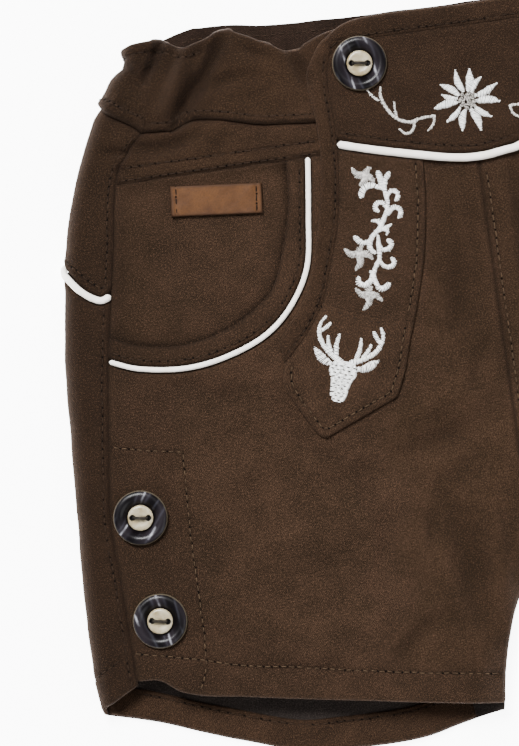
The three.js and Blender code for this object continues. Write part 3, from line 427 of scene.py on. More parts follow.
# ---------------------------------------------------------------- distances in the pattern's plane
def nearest(points, starts, ends):
    """Each point's distance to the nearest of some segments, which one, and the share along it."""
    best = np.full(len(points), 1e9)
    which = np.zeros(len(points), int)
    share = np.zeros(len(points))
    if len(starts) == 0:
        return best, which, share
    along = ends - starts
    length2 = np.maximum((along ** 2).sum(1), 1e-12)
    batch = 1500           # points handled at a time, so the tables stay small
    for first in range(0, len(points), batch):
        p = points[first:first + batch]
        off = p[:, None, :] - starts[None]
        t = np.clip((off * along[None]).sum(2) / length2, 0, 1)
        gap = off - t[..., None] * along[None]
        squared = (gap ** 2).sum(2)
        k = squared.argmin(1)
        rows = np.arange(len(p))
        best[first:first + batch] = np.sqrt(squared[rows, k])
        which[first:first + batch] = k
        share[first:first + batch] = t[rows, k]
    return best, which, share


def segments(lines):
    lines = [line for line in lines if len(line) > 1]
    if not lines:
        return np.zeros((0, 2)), np.zeros((0, 2))
    return np.vstack([line[:-1] for line in lines]), np.vstack([line[1:] for line in lines])


def inside(points, loop):
    """Whether each point lies inside a closed loop."""
    x, y = points.T
    result = np.zeros(len(points), bool)
    for (x0, y0), (x1, y1) in zip(loop, np.roll(loop, -1, axis=0)):
        if y0 == y1:
            continue
        crossing = (y0 > y) != (y1 > y)
        result ^= crossing & (x < (x1 - x0) * (y - y0) / (y1 - y0) + x0)
    return result


def loop_area(loop):
    x, y = loop.T
    return 0.5 * float(np.sum(x * np.roll(y, -1) - np.roll(x, -1) * y))


def meeting(a, b, corner):
    """Where the end of one line meets the start of the next, and the lines cut there."""
    reach = 5.0
    tail = a[-1] + (a[-1] - a[-3]) / np.linalg.norm(a[-1] - a[-3]) * reach
    head = b[0] + (b[0] - b[2]) / np.linalg.norm(b[0] - b[2]) * reach
    first, second = np.vstack([a, tail]), np.vstack([head, b])
    p, r = first[:-1, None], np.diff(first, axis=0)[:, None]
    q, s = second[None, :-1], np.diff(second, axis=0)[None]
    cross = r[..., 0] * s[..., 1] - r[..., 1] * s[..., 0]
    cross = np.where(np.abs(cross) < 1e-9, np.nan, cross)
    d = q - p
    t = (d[..., 0] * s[..., 1] - d[..., 1] * s[..., 0]) / cross
    u = (d[..., 0] * r[..., 1] - d[..., 1] * r[..., 0]) / cross
    hit = (t >= -1e-6) & (t <= 1 + 1e-6) & (u >= -1e-6) & (u <= 1 + 1e-6)
    places = p + np.nan_to_num(t)[..., None] * r
    away = np.where(hit, np.linalg.norm(places - corner, axis=2), np.inf)
    i, j = np.unravel_index(away.argmin(), away.shape)
    if not away[i, j] < reach:
        point = (a[-1] + b[0]) / 2
        return np.vstack([a[:-1], point]), np.vstack([point, b[1:]])
    point = places[i, j]
    return np.vstack([first[:i + 1], point]), np.vstack([point, second[j + 1:]])


def drawn_in(edges):
    """The closed edges of a piece, each (line, inset, kind), drawn in by their insets."""
    whole = np.vstack([line[:-1] for line, _, _ in edges])
    inward = math.copysign(1, loop_area(whole))
    lines = [beside(line, inward * inset) for line, inset, _ in edges]
    corners = [line[-1] for line, _, _ in edges]
    for i in range(len(lines)):
        j = (i + 1) % len(lines)
        lines[i], lines[j] = meeting(lines[i], lines[j], corners[i])
    return lines, inward


# ---------------------------------------------------------------- cloth
def scattered(candidates, clear, existing):
    """Points of a list that keep clear of those before them, and of existing ones."""
    taken = {}
    kept = []

    def free(x, y):
        i, j = int(x // clear), int(y // clear)
        for a in (i - 1, i, i + 1):
            for b in (j - 1, j, j + 1):
                for px, py in taken.get((a, b), ()):
                    if (px - x) ** 2 + (py - y) ** 2 < clear * clear:
                        return False
        taken.setdefault((i, j), []).append((x, y))
        return True

    for x, y in existing:
        taken.setdefault((int(x // clear), int(y // clear)), []).append((x, y))
    for x, y in candidates:
        if free(x, y):
            kept.append((x, y))
    return np.array(kept, float).reshape(-1, 2)


def hex_points(low, high, step):
    rows = np.arange(low[1], high[1], step * math.sqrt(3) / 2)
    columns = np.arange(low[0], high[0], step)
    x, y = np.meshgrid(columns, rows)
    x[1::2] += step / 2
    return np.column_stack([x.ravel(), y.ravel()])


# kind of edge: how far the outer face drops, over what width, how far it puffs up behind that,
# and how its colour changes beside it: above 0 it is painted paler, rubbed wear with a painted
# highlight, and below 0 it is painted darker, painted shade beside seams, laps, cords and rolled
# edges, and on the leather's cut edge that edge's own darker colour.
# An edge of any other kind is left square.
EDGES = {"seam": (0.5, 1.2, 0.26, -0.75), "inseam": (0.5, 1.2, 0.26, -0.35),
         "top": (0.75, 0.8, 0.26, -0.3), "cut": (0.3, 0.3, 0, -0.9),
         "soft": (0.26, 0.9, 0.14, -0.2), "lap": (0.6, 0.8, 0.95, -0.5),
         "tucked": (1.35, 3.4, 0, -0.9), "cord": (0.8, 1.1, 0.3, -0.3),
         "edge": (0.75, 0.75, 0.26, 0.1), "roll": (0.75, 1.1, 0.15, -0.8),
         "turned": (0.75, 0.8, 0.26, 0.0)}


WEAR_AND_SHADE_WIDTH = 0.7       # how far the paler wear and the painted shade reach in from an edge


def edge_profile(distance, kind):
    """How far the outer face drops beside an edge: a cut edge is rounded, the others slope."""
    drop, width = EDGES[kind][:2]
    if kind in ("edge", "turned", "top", "cut"):
        inner = width - np.minimum(distance, width)
        return width - np.sqrt(width ** 2 - inner ** 2)
    return drop * (1 - smooth(distance / width))


def puffed(distance, amount):
    """A soft roll that runs a little way in from an edge."""
    middle, width = 1.9, 1.2
    return amount * np.exp(-((distance - middle) / width) ** 2)


def beside_edges(points, border, kinds):
    """How far the outer face stands up or drops near a piece's edges, and how much its colour is
    painted paler, rubbed wear with a painted highlight, and darker, painted shade, there.
    """
    drop, rise, wear_and_shade = (np.zeros(len(points)) for _ in range(3))
    for kind in EDGES:
        chosen = [line for line, k in zip(border, kinds) if k == kind]
        away = nearest(points, *segments(chosen))[0]
        drop = np.maximum(drop, edge_profile(away, kind))
        rise = np.maximum(rise, puffed(away, EDGES[kind][2]))
        wear_and_shade = wear_and_shade + EDGES[kind][3] * np.exp(-(away / WEAR_AND_SHADE_WIDTH) ** 2)
    return rise - drop, wear_and_shade


def triangulated(loop, extra):
    """Triangles that fill a closed loop, through extra points inside it."""
    points = [Vector(p) for p in np.vstack([loop, extra])]
    ring = list(range(len(loop)))
    vertices, _, faces, _, _, _ = delaunay_2d_cdt(points, [], [ring], 1, 1e-5)
    vertices = np.array([tuple(v) for v in vertices])
    triangles = np.array([tuple(f) for f in faces])
    a, b, c = (vertices[triangles[:, k]] for k in range(3))
    area = (b[:, 0] - a[:, 0]) * (c[:, 1] - a[:, 1]) - (b[:, 1] - a[:, 1]) * (c[:, 0] - a[:, 0])
    triangles[area < 0] = triangles[area < 0][:, ::-1]
    return vertices, triangles[np.abs(area) > 1e-7]


def rim_of(triangles):
    """Edges that only one triangle has, in the direction it runs them."""
    directed = np.vstack([triangles[:, [0, 1]], triangles[:, [1, 2]], triangles[:, [2, 0]]])
    key = np.sort(directed, axis=1)
    _, index, count = np.unique(key, axis=0, return_index=True, return_counts=True)
    return directed[index[count == 1]]


def to_metres(points):
    """Points in the part's own frame, kept above the surface that the garment lies on."""
    moved = np.asarray(points) + SHIFT
    moved[..., 2] = np.maximum(moved[..., 2], 0)
    return moved * 0.001


def new_piece(name, vertices, faces, material, stands_for=()):
    """A smooth mesh object in metres that rides on the garment."""
    mesh = bpy.data.meshes.new(name)
    mesh.from_pydata(np.asarray(vertices).tolist(), [], [list(map(int, f)) for f in faces])
    mesh.validate()
    mesh.polygons.foreach_set("use_smooth", np.ones(len(mesh.polygons), bool))
    mesh.materials.append(material)
    mesh.update()
    piece = bpy.data.objects.new(name, mesh)
    bpy.context.scene.collection.objects.link(piece)
    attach(piece, "root")
    if stands_for:
        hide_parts(*stands_for)
    return piece


def set_pattern(piece, uv, turn=0.0):
    """The piece's own pattern plane, in metres, with the cloth's grain turned on it."""
    mesh = piece.data
    turned = np.asarray(uv) @ rotation(turn) * 0.001
    loops = np.zeros(len(mesh.loops), np.int32)
    mesh.loops.foreach_get("vertex_index", loops)
    layer = mesh.uv_layers.new(name="pattern")
    layer.data.foreach_set("uv", turned[loops].astype(np.float32).ravel())


def set_attribute(piece, name, values):
    layer = piece.data.attributes.new(name, "FLOAT", "POINT")
    layer.data.foreach_set("value", np.asarray(values, np.float32))


def set_reverse(piece, first, last, material):
    """Faces from first to last show the cloth's wrong side."""
    piece.data.materials.append(material)
    for face in piece.data.polygons[first:last]:
        face.material_index = 1


BORDER_STEP = 0.9                              # between points along edges and rows of stitches
RINGS = (0.28, 0.6, 1.0, 1.6)                  # rows of points this far in from every edge
STITCH_RINGS = (0, 0.45, -0.45, 1.0, -1.0)     # and this far to both sides of a row of stitches
POINTS_CLEAR = 0.27                            # the least distance between two of those points


def clear_of(loop, row, distance):
    """The points of a row that lie inside a loop and more than a distance from it."""
    away = nearest(row, loop, np.roll(loop, -1, axis=0))[0]
    return row[(away > distance) & inside(row, loop)]


def rings_of(border, inward, loop):
    """Points in rows beside the edges, close enough to round them."""
    return [clear_of(loop, spaced(beside(line, inward * depth), BORDER_STEP), 0.97 * depth)
            for line in border for depth in RINGS]


def rows_beside(stitches, loop):
    """Points along both sides of each row of stitches."""
    return [clear_of(loop, spaced(beside(line, off), BORDER_STEP), 0.35)
            for line in stitches for off in STITCH_RINGS]


def pattern_mesh(border, inward, stitches, step, coarse):
    """The loop of a piece and the points and triangles that fill it."""
    loop = np.vstack([line[:-1] for line in border])
    near = np.vstack([*rings_of(border, inward, loop), *rows_beside(stitches, loop)])
    near = scattered(near, POINTS_CLEAR, loop)
    grid = hex_points(loop.min(0) - step, loop.max(0) + step, step)
    if coarse is not None:
        wide = hex_points(loop.min(0) - step, loop.max(0) + step, 2.4 * step)
        grid = np.vstack([grid[~coarse(grid)], wide[coarse(wide)]])
    grid = clear_of(loop, grid, RINGS[-1])
    grid = scattered(grid, 0.75 * step, near)
    points, triangles = triangulated(loop, np.vstack([near, grid]))
    return loop, points, triangles


def wall_inside_out(outer, inner, triangles):
    """Whether the triangles of the outer face look towards the inner one."""
    a, b, c = (outer[triangles[:, k]] for k in range(3))
    out = (outer - inner)[triangles[:, 0]]
    return float((np.cross(b - a, c - a) * out).sum()) < 0


CHANNEL = (0.32, 0.5)      # depth of the channel that a row of stitches pulls in, and half width
PUCKER = (0.3, 3.2)        # height of the ripples beside it, and how far from it they die away
TURNINGS = (0.65, 1.6)     # thickness of the seam's turnings inside an inseam, and their width
LEAST_WALL = 0.3           # thickness that a wall keeps however deep its folds are
ROW_DEPTH = 0.2            # how far below the cloth's face a row of stitches is drawn


def cloth(name, edges, place, high, thick, stitches=(), step=1.5, turn=0.0, relief=None,
          coarse=None, material="suede", reverse="reverse", tone="dark", shade=0.0):
    """One cut piece: a thin wall of cloth with rolled edges, and channels under its stitching.

    edges go round the piece in the pattern's plane, place() takes pattern points to the garment,
    and high is the height of the outer face. shade is painted shade: how much darker the piece's
    colour is, as a number or by its pattern points."""
    lines, inward = drawn_in(edges)
    border = [spaced(line, BORDER_STEP) for line in lines]
    loop, points, triangles = pattern_mesh(border, inward, stitches, step, coarse)
    kinds = [kind for _, _, kind in edges]

    def lift(places):
        raised = beside_edges(places, border, kinds)[0]
        return raised if relief is None else raised + relief(places)

    wear_and_shade = beside_edges(points, border, kinds)[1]
    rows = segments([spaced(line, BORDER_STEP) for line in stitches])
    away, which, share = nearest(points, *rows)
    pull = np.exp(-(away / CHANNEL[1]) ** 2)
    ripple = soft_noise((which + share) * BORDER_STEP, away, 2.4, 5)
    pucker = ripple * np.exp(-(away / PUCKER[1]) ** 2)
    swell = undulation(place.unrolled(points))
    out = high + lift(points) - CHANNEL[0] * pull + PUCKER[0] * pucker + swell
    outer = place(points, out)
    inseam = [line for line, kind in zip(border, kinds) if kind == "inseam"]
    turnings = TURNINGS[0] * np.exp(-(nearest(points, *segments(inseam))[0] / TURNINGS[1]) ** 2)
    inner = place(points, np.minimum(high - thick + 0.5 * swell, out - LEAST_WALL) - turnings)
    outer[:, 2] = np.maximum(outer[:, 2], UNDERSIDE)      # flat where it rests
    if wall_inside_out(outer, inner, triangles):
        triangles = triangles[:, ::-1]
    count = len(points)
    rim = rim_of(triangles)
    walls = np.column_stack([rim[:, 1], rim[:, 0], rim[:, 0] + count, rim[:, 1] + count])
    faces = [*triangles, *walls, *(triangles[:, ::-1] + count)]
    vertices = to_metres(np.vstack([outer, inner]))
    piece = new_piece(name + "_sewn", vertices, faces, MATERIALS[material], [name])
    set_reverse(piece, len(triangles) + len(walls), len(faces), MATERIALS[reverse])
    set_pattern(piece, np.vstack([points, points]) * (place.way, 1), turn)
    set_attribute(piece, "wear_and_shade", np.concatenate([wear_and_shade, wear_and_shade]))
    set_attribute(piece, "pull", np.concatenate([pull, np.zeros(count)]))
    # the fold attribute carries painted shade: the troughs and side folds, and the piece's own
    # shade
    added = np.tile(shade(points), 2) if callable(shade) else shade
    set_attribute(piece, "fold", painted_shade_of(np.vstack([outer, inner])) + added)
    for line in stitches:
        sew(place, line, high - ROW_DEPTH, loop, lift, tone=tone)
    return piece


# ---------------------------------------------------------------- threads
def strands(place, paths, heights, radius, sides=5, flat=1.0, swelling=True):
    """Round threads along many paths of equal counts: their vertices and faces."""
    count, stops, _ = paths.shape
    points = paths.reshape(-1, 2)
    lifted = np.asarray(heights, float).reshape(-1)
    if swelling:
        lifted = lifted + undulation(place.unrolled(points))
    middle = place(points, lifted).reshape(count, stops, 3)
    out_way = place(points, lifted + 1).reshape(count, stops, 3) - middle
    if swelling:
        middle[..., 2] = np.maximum(middle[..., 2], THREAD_LOW)
    along = np.gradient(middle, axis=1)
    along /= np.maximum(np.linalg.norm(along, axis=2, keepdims=True), 1e-9)
    side_way = np.cross(along, out_way)
    side_way /= np.maximum(np.linalg.norm(side_way, axis=2, keepdims=True), 1e-9)
    rise_way = np.cross(side_way, along)
    angle = np.arange(sides) * 2 * math.pi / sides
    ring = (middle[:, :, None]
            + radius * np.cos(angle)[:, None] * rise_way[:, :, None]
            + radius * flat * np.sin(angle)[:, None] * side_way[:, :, None])
    first = np.arange(count)[:, None, None] * stops * sides
    row = np.arange(stops - 1)[None, :, None] * sides
    k = np.arange(sides)[None, None, :]
    a, b = first + row + k, first + row + (k + 1) % sides
    quads = np.stack([b, a, a + sides, b + sides], axis=3).reshape(-1, 4)
    start = (first[:, 0] + np.arange(sides)[None]).reshape(count, sides)
    finish = start[:, ::-1] + (stops - 1) * sides
    return ring.reshape(-1, 3), [*quads.tolist(), *start.tolist(), *finish.tolist()]


def joined(parts):
    """Several lists of vertices and faces as one."""
    vertices, faces, base = [], [], 0
    for points, polygons in parts:
        vertices.append(points)
        faces.extend([base + i for i in polygon] for polygon in polygons)
        base += len(points)
    return np.vstack(vertices), faces


sewn_rows = {"dark": [], "light": []}      # rows that wait for topstitching()


def sew(place, line, out, loop=None, relief=None, turned=False, tone="dark"):
    """A row of stitches along a line in the pattern's plane, inside a loop."""
    run = spaced(line, STITCH)
    keep = np.ones(len(run), bool)
    if loop is not None:
        keep = inside(run, loop) & (nearest(run, loop, np.roll(loop, -1, axis=0))[0] > 0.25)
    pairs = [(a, b) for a, b, good in zip(run[:-1], run[1:], keep[:-1] & keep[1:]) if good]
    if pairs:
        sewn_rows[tone].append((place, np.array(pairs), out, relief, turned))


def dimples(place, points, heights, radius):
    """Shallow cups at points of the pattern, where a needle has gone through; they take the
    near-black hole finish, painted shade in the holes.
    """
    angle = np.arange(6) * math.pi / 3
    rim = points[:, None] + radius * np.column_stack([np.cos(angle), np.sin(angle)])[None]
    swell = undulation(place.unrolled(points))
    rims = place(rim.reshape(-1, 2), np.repeat(heights + swell, 6)).reshape(-1, 6, 3)
    middles = place(points, heights + swell - 0.12)[:, None]
    first = np.arange(len(points))[:, None] * 7
    k = np.arange(6)[None]
    faces = np.stack([first + k, first + (k + 1) % 6, first + 6 + 0 * k], axis=2).reshape(-1, 3)
    cups = np.concatenate([rims, middles], axis=1).reshape(-1, 3)
    cups[:, 2] = np.maximum(cups[:, 2], HOLE_LOW)
    return cups, faces.tolist()


def topstitching(name, tone, material):
    """All rows of one tone, joined: each stitch a short thread whose ends dive into the cloth."""
    random = np.random.default_rng(11)
    shares = np.array([0.16, 0.32, 0.68, 0.84])       # along the pitch
    depths = np.array([-0.34, 0.12, 0.12, -0.34])     # above the row's own height
    parts, holes = [], []
    for place, pairs, out, relief, turned in sewn_rows[tone]:
        pairs = pairs + random.normal(0, 0.1, pairs.shape)
        paths = pairs[:, :1] + (pairs[:, 1:] - pairs[:, :1]) * shares[None, :, None]
        way = -1 if turned else 1
        heights = out + way * (depths + random.uniform(-0.1, 0.05, (len(pairs), 1)))
        ends = pairs[:, 0]
        floor = np.full(len(ends), out + 0.03)
        if relief is not None:
            heights = heights + relief(paths.reshape(-1, 2)).reshape(heights.shape)
            floor = floor + relief(ends)
        parts.append(strands(place, paths, heights, STITCH_THREAD, flat=1.3))
        if not turned:
            holes.append(dimples(place, ends, floor, NEEDLE_HOLE))
    sewn_rows[tone].clear()
    vertices, faces = joined(parts)
    new_piece(name, to_metres(vertices), faces, MATERIALS[material])
    # the needle holes, painted near black as shade
    if holes:
        vertices, faces = joined(holes)
        new_piece(name + "_holes", to_metres(vertices), faces, MATERIALS["hole"])


def satin(spine, widths, lift, pitch=0.5, lean=0.3, seed=1, blunt_start=False):
    """Threads laid side by side across a line, each arching over the padding below it.

    The far end is rounded over, and the start as well where it is a free end."""
    random = np.random.default_rng(seed)
    line = spaced(spine, pitch)
    share = np.linspace(0, 1, len(line))
    width = np.interp(share, np.linspace(0, 1, len(widths)), widths)
    from_start = np.arange(len(line)) * pitch + 0.12
    ends = ((True, from_start[::-1], widths[-1]), (blunt_start, from_start, widths[0]))
    for free, away, end in ends:
        blunt = 1 - np.minimum(away / (0.55 * end), 1)
        width = width * (np.sqrt(1 - blunt ** 2) if free else 1)
    width = np.maximum(width + random.normal(0, 0.17, len(line)), 0.25)
    across_way = normals_of(line)
    along = np.column_stack([across_way[:, 1], -across_way[:, 0]])
    slanted = across_way + lean * along
    stops = np.linspace(-0.5, 0.5, 5)
    paths = line[:, None] + slanted[:, None] * (width[:, None] * stops)[..., None]
    paths += random.normal(0, 0.035, (len(line), 1, 2))
    arch = np.array([-0.35, 0.75, 1.0, 0.75, -0.35])
    heights = lift + arch * (0.18 + 0.2 * np.sqrt(width))[:, None]
    return paths, heights + random.uniform(-0.05, 0.07, (len(line), 1))


def rows_over(outline, angle, pitch):
    """Where rows at an angle enter and leave a shape, and the turn that sets them level."""
    spin = rotation(angle)
    shape = np.asarray(outline, float) @ spin.T
    rows = []
    for y in np.arange(shape[:, 1].min() + pitch / 2, shape[:, 1].max(), pitch):
        crossings = sorted(x0 + (x1 - x0) * (y - y0) / (y1 - y0)
                           for (x0, y0), (x1, y1) in zip(shape, np.roll(shape, -1, axis=0))
                           if (y0 > y) != (y1 > y))
        rows.append((y, crossings[0], crossings[-1]))
    return rows, spin


def filled(outline, lift, angle):
    """Short staggered threads in rows that fill a shape."""
    pitch, length = 0.4, 2.6
    random = np.random.default_rng(2)
    rows, spin = rows_over(outline, angle, pitch)
    paths = []
    for row, (y, start, end) in enumerate(rows):
        x = start - length * random.uniform(0.2, 1.0) + length * 0.5 * (row % 2)
        while x < end - 0.3:
            a, b = max(x, start), min(x + length, end)
            if b - a > 0.5:
                paths.append(np.column_stack([np.linspace(a, b, 5), np.full(5, y)]))
            x += length
    arch = np.array([-0.25, 0.22, 0.28, 0.22, -0.25])
    return np.array(paths) @ spin, lift + 0.25 + np.tile(arch, (len(paths), 1))


def pricked(outline, lift, angle):
    """Short dark strands where the needle went in between the threads, set out like bricks: the
    brown cloth that shows there, with painted shadow.
    """
    pitch, length, mark = 1.25, 1.9, 0.38
    random = np.random.default_rng(6)
    rows, spin = rows_over(outline, angle, pitch)
    paths = []
    for row, (y, start, end) in enumerate(rows[:-1]):
        for x in np.arange(start + 0.8 + 0.5 * length * (row % 2), end - 0.8, length):
            middle = np.array([x, y]) + random.normal(0, 0.1, 2)
            paths.append(middle + np.column_stack([np.linspace(-mark, mark, 5), np.zeros(5)]))
    arch = np.array([-0.12, 0.02, 0.05, 0.02, -0.12])
    return np.array(paths) @ spin, lift + 0.6 + np.tile(arch, (len(paths), 1))


def embroidery(name, place, groups, material, radius=0.2):
    """Satin and filled shapes, joined into one piece."""
    parts = [strands(place, paths, heights, radius) for paths, heights in groups]
    vertices, faces = joined(parts)
    return new_piece(name, to_metres(vertices), faces, MATERIALS[material])


# ---------------------------------------------------------------- materials
MATERIALS = {}


def srgb(r, g, b):
    """A colour given as 0 to 255, as the linear values that shaders take."""
    return tuple((c / 255 / 12.92) if c / 255 <= 0.04045 else ((c / 255 + 0.055) / 1.055) ** 2.4
                 for c in (r, g, b))


class Finish:
    """A material under construction, with short calls that add and join its nodes."""

    def __init__(self, name, roughness, specular=0.5):
        self.material = bpy.data.materials.new(name)
        self.material.use_nodes = True
        self.tree = self.material.node_tree
        self.shader = self.tree.nodes["Principled BSDF"]
        self.set(**{"Roughness": roughness, "Specular IOR Level": specular})
        MATERIALS[name] = self.material

    def set(self, **values):
        for socket, value in values.items():
            self.shader.inputs[socket].default_value = value

    def add(self, kind, inputs=None, **settings):
        node = self.tree.nodes.new("ShaderNode" + kind)
        for key, value in settings.items():
            setattr(node, key, value)
        for socket, value in (inputs or {}).items():
            if isinstance(value, bpy.types.NodeSocket):
                self.tree.links.new(value, node.inputs[socket])
            else:
                node.inputs[socket].default_value = value
        return node

    def link(self, output, socket):
        self.tree.links.new(output, self.shader.inputs[socket])

    def place(self):
        return self.add("TexCoord").outputs["Object"]

    def pattern(self):
        return self.add("UVMap", uv_map="pattern").outputs["UV"]

    def turned(self, vector, angle):
        node = self.add("Mapping", {"Vector": vector})
        node.inputs["Rotation"].default_value = (0, 0, math.radians(angle))
        return node.outputs["Vector"]

    def noise(self, vector, size, detail=2.0, roughness=0.5):
        """Uneven values about a size across, in metres."""
        node = self.add("TexNoise", {"Vector": vector, "Scale": 1 / size, "Detail": detail,
                                     "Roughness": roughness})
        return node.outputs["Fac"]

    def waves(self, vector, pitch, distortion=0.0, detail=0.0):
        """Straight ribs across x, with a pitch in metres."""
        scale = 2 * math.pi / (20 * pitch)
        node = self.add("TexWave", {"Vector": vector, "Scale": scale, "Distortion": distortion,
                                    "Detail": detail, "Detail Scale": 0.5})
        return node.outputs["Fac"]

    def spread(self, value, low, high, to_low=0.0, to_high=1.0):
        node = self.add("MapRange", {"Value": value, "From Min": low, "From Max": high,
                                     "To Min": to_low, "To Max": to_high})
        return node.outputs["Result"]

    def math(self, operation, a, b):
        return self.add("Math", {0: a, 1: b}, operation=operation).outputs[0]

    def mix(self, share, a, b):
        node = self.add("Mix", data_type="RGBA")
        for socket, value in ((0, share), (6, a), (7, b)):
            if isinstance(value, bpy.types.NodeSocket):
                self.tree.links.new(value, node.inputs[socket])
            else:
                node.inputs[socket].default_value = value if socket == 0 else (*value, 1)
        return node.outputs[2]

    def attribute(self, name):
        return self.add("Attribute", attribute_name=name).outputs["Fac"]

    def bump(self, *layers):
        """Layers of relief, each a height and its depth in metres."""
        normal = None
        for height, depth in layers:
            node = self.add("Bump", {"Height": height, "Distance": depth, "Strength": 1.0})
            if normal is not None:
                self.tree.links.new(normal, node.inputs["Normal"])
            normal = node.outputs["Normal"]
        self.link(normal, "Normal")


def suede_finish(name, dark, light, twill=1.0):
    """Brushed twill: fine diagonal ribs under a short nap, mottled where the nap lies both ways."""
    f = Finish(name, 0.92, 0.07)
    pattern, place = f.pattern(), f.place()
    ribs = f.waves(f.turned(pattern, 46), 0.00055, 1.2, 2.0)
    nap = f.noise(pattern, 0.00046, 3.0, 0.75)
    flecks = f.noise(pattern, 0.0016, 3.0, 0.7)
    patches = f.noise(place, 0.009, 3.0, 0.6)
    wide = f.noise(place, 0.045, 2.0)
    tone = f.math("ADD", f.math("MULTIPLY", patches, 0.4), f.math("MULTIPLY", wide, 0.2))
    tone = f.math("ADD", tone, f.math("MULTIPLY", flecks, 0.4))
    color = f.mix(f.spread(tone, 0.4, 0.6), dark, light)
    darker = tuple(0.33 * c for c in dark)
    # painted shade: darker by the fold attribute, in troughs, near the side folds and where a piece
    # is given shade
    color = f.mix(f.math("MULTIPLY", f.attribute("fold"), 0.5), color, darker)
    color = f.mix(f.spread(ribs, 0.0, 1.0, 0.6 * twill, 0.0), color, darker)
    color = f.mix(f.spread(nap, 0.34, 0.55, 0.88, 0.0), color, darker)
    lint = tuple(min(2.6 * c, 1) for c in light)
    color = f.mix(f.spread(nap, 0.53, 0.74, 0.0, 0.62), color, lint)
    # painted shade in the channel that each row of stitches pulls in
    color = f.mix(f.math("MULTIPLY", f.attribute("pull"), 0.4), color, darker)
    # edges marked above 0 are painted paler, rubbed wear with a painted highlight; those below 0
    # are painted darker, painted shade beside seams and rolled edges
    rubbed_and_lit = tuple(min(1.7 * c, 1) for c in light)
    wear_and_shade = f.attribute("wear_and_shade")
    color = f.mix(f.math("MULTIPLY", wear_and_shade, 0.5), color, rubbed_and_lit)
    color = f.mix(f.math("MULTIPLY", wear_and_shade, -0.7), color, darker)
    f.link(color, "Base Color")
    f.set(**{"Sheen Weight": 0.06, "Sheen Roughness": 0.5})
    f.shader.inputs["Sheen Tint"].default_value = (*srgb(190, 160, 140), 1)
    f.bump((patches, 0.0008), (ribs, 0.00016 * twill), (nap, 0.00014))


# The second finish is a darker copy of the same suede, painted shade for the bands, the flap and
# the back; the third is darker still, painted shade for the inside of the back waistband.
suede_finish("suede", srgb(38, 27, 18), srgb(58, 42, 31), 0.6)
suede_finish("suede_band", srgb(35, 24, 16), srgb(53, 38, 27), 0.6)
suede_finish("suede_in_painted_shade", srgb(26, 18, 13), srgb(40, 29, 23), 0.6)
suede_finish("reverse", srgb(38, 33, 31), srgb(50, 44, 41), 0.4)


def thread_finish(name, dark, light):
    f = Finish(name, 0.8, 0.1)
    shade = f.noise(f.place(), 0.0015, 2.0)
    f.link(f.mix(f.spread(shade, 0.3, 0.7), dark, light), "Base Color")
    f.bump((f.noise(f.place(), 0.0002, 1.0), 0.00005))


def piping_finish():
    f = Finish("piping", 0.8, 0.25)
    weave = f.waves(f.turned(f.place(), 45), 0.0004, 0.5, 1.0)
    soft = f.noise(f.place(), 0.004, 2.0)
    f.link(f.mix(f.spread(soft, 0.3, 0.7), srgb(247, 238, 227), srgb(255, 249, 241)), "Base Color")
    f.bump((weave, 0.00004), (f.noise(f.place(), 0.0007, 2.0), 0.00012))


def silk_finish(name, dark, light):
    f = Finish(name, 0.42, 0.5)
    shade = f.noise(f.place(), 0.0007, 3.0, 0.6)
    f.link(f.mix(f.spread(shade, 0.36, 0.6), dark, light), "Base Color")
    f.set(**{"Sheen Weight": 0.15, "Sheen Roughness": 0.3})
    f.bump((f.noise(f.place(), 0.0001, 1.0), 0.00002))


def leather_finish():
    f = Finish("leather", 0.66, 0.15)
    pores = f.noise(f.pattern(), 0.0006, 3.0, 0.65)
    shade = f.noise(f.place(), 0.007, 3.0, 0.6)
    color = f.mix(f.spread(shade, 0.3, 0.7), srgb(58, 34, 15), srgb(80, 51, 25))
    color = f.mix(f.spread(pores, 0.45, 0.75, 0.0, 0.5), color, srgb(43, 25, 12))
    color = f.mix(f.math("MULTIPLY", f.attribute("wear_and_shade"), -0.8), color, srgb(30, 18, 10))
    f.link(color, "Base Color")
    f.bump((pores, 0.00008), (f.noise(f.pattern(), 0.003, 2.0), 0.0002))


def horn_finish():
    """Dark polished horn with a few pale slanting streaks, and a tan layer at its edge."""
    f = Finish("horn", 0.3, 0.12)
    slanted = f.turned(f.pattern(), -28)
    bands = f.waves(slanted, 0.0084, 2.6, 2.0)
    fine = f.waves(slanted, 0.0034, 5.0, 2.0)
    broken = f.spread(f.noise(slanted, 0.007, 2.0), 0.46, 0.62)
    streak = f.math("MULTIPLY", f.math("POWER", bands, 70.0), broken)
    color = f.mix(f.spread(bands, 0.1, 1.0), srgb(6, 4, 6), srgb(26, 22, 26))
    veins = f.math("MULTIPLY", f.math("POWER", fine, 8.0), f.spread(broken, 0.0, 1.0, 0.14, 0.02))
    color = f.mix(veins, color, srgb(84, 84, 94))
    color = f.mix(f.math("MULTIPLY", streak, 0.9), color, srgb(160, 160, 168))
    color = f.mix(f.attribute("under"), color, srgb(76, 69, 57))
    # painted shade in the well under the boss
    color = f.mix(f.attribute("painted_hole_shade"), color, srgb(9, 7, 8))
    f.link(color, "Base Color")
    f.set(**{"Coat Weight": 0.02, "Coat Roughness": 0.2})
    f.bump((bands, 0.0001))


def cream_finish():
    f = Finish("cream", 0.28, 0.5)
    cloud = f.noise(f.place(), 0.003, 3.0, 0.6)
    color = f.mix(f.spread(cloud, 0.34, 0.66), srgb(131, 116, 84), srgb(164, 154, 131))
    # painted shade in the holes
    color = f.mix(f.attribute("painted_hole_shade"), color, srgb(10, 8, 8))
    f.link(color, "Base Color")
    f.set(**{"Coat Weight": 0.1, "Coat Roughness": 0.2})
    f.bump((f.noise(f.place(), 0.0008, 2.0), 0.00003))


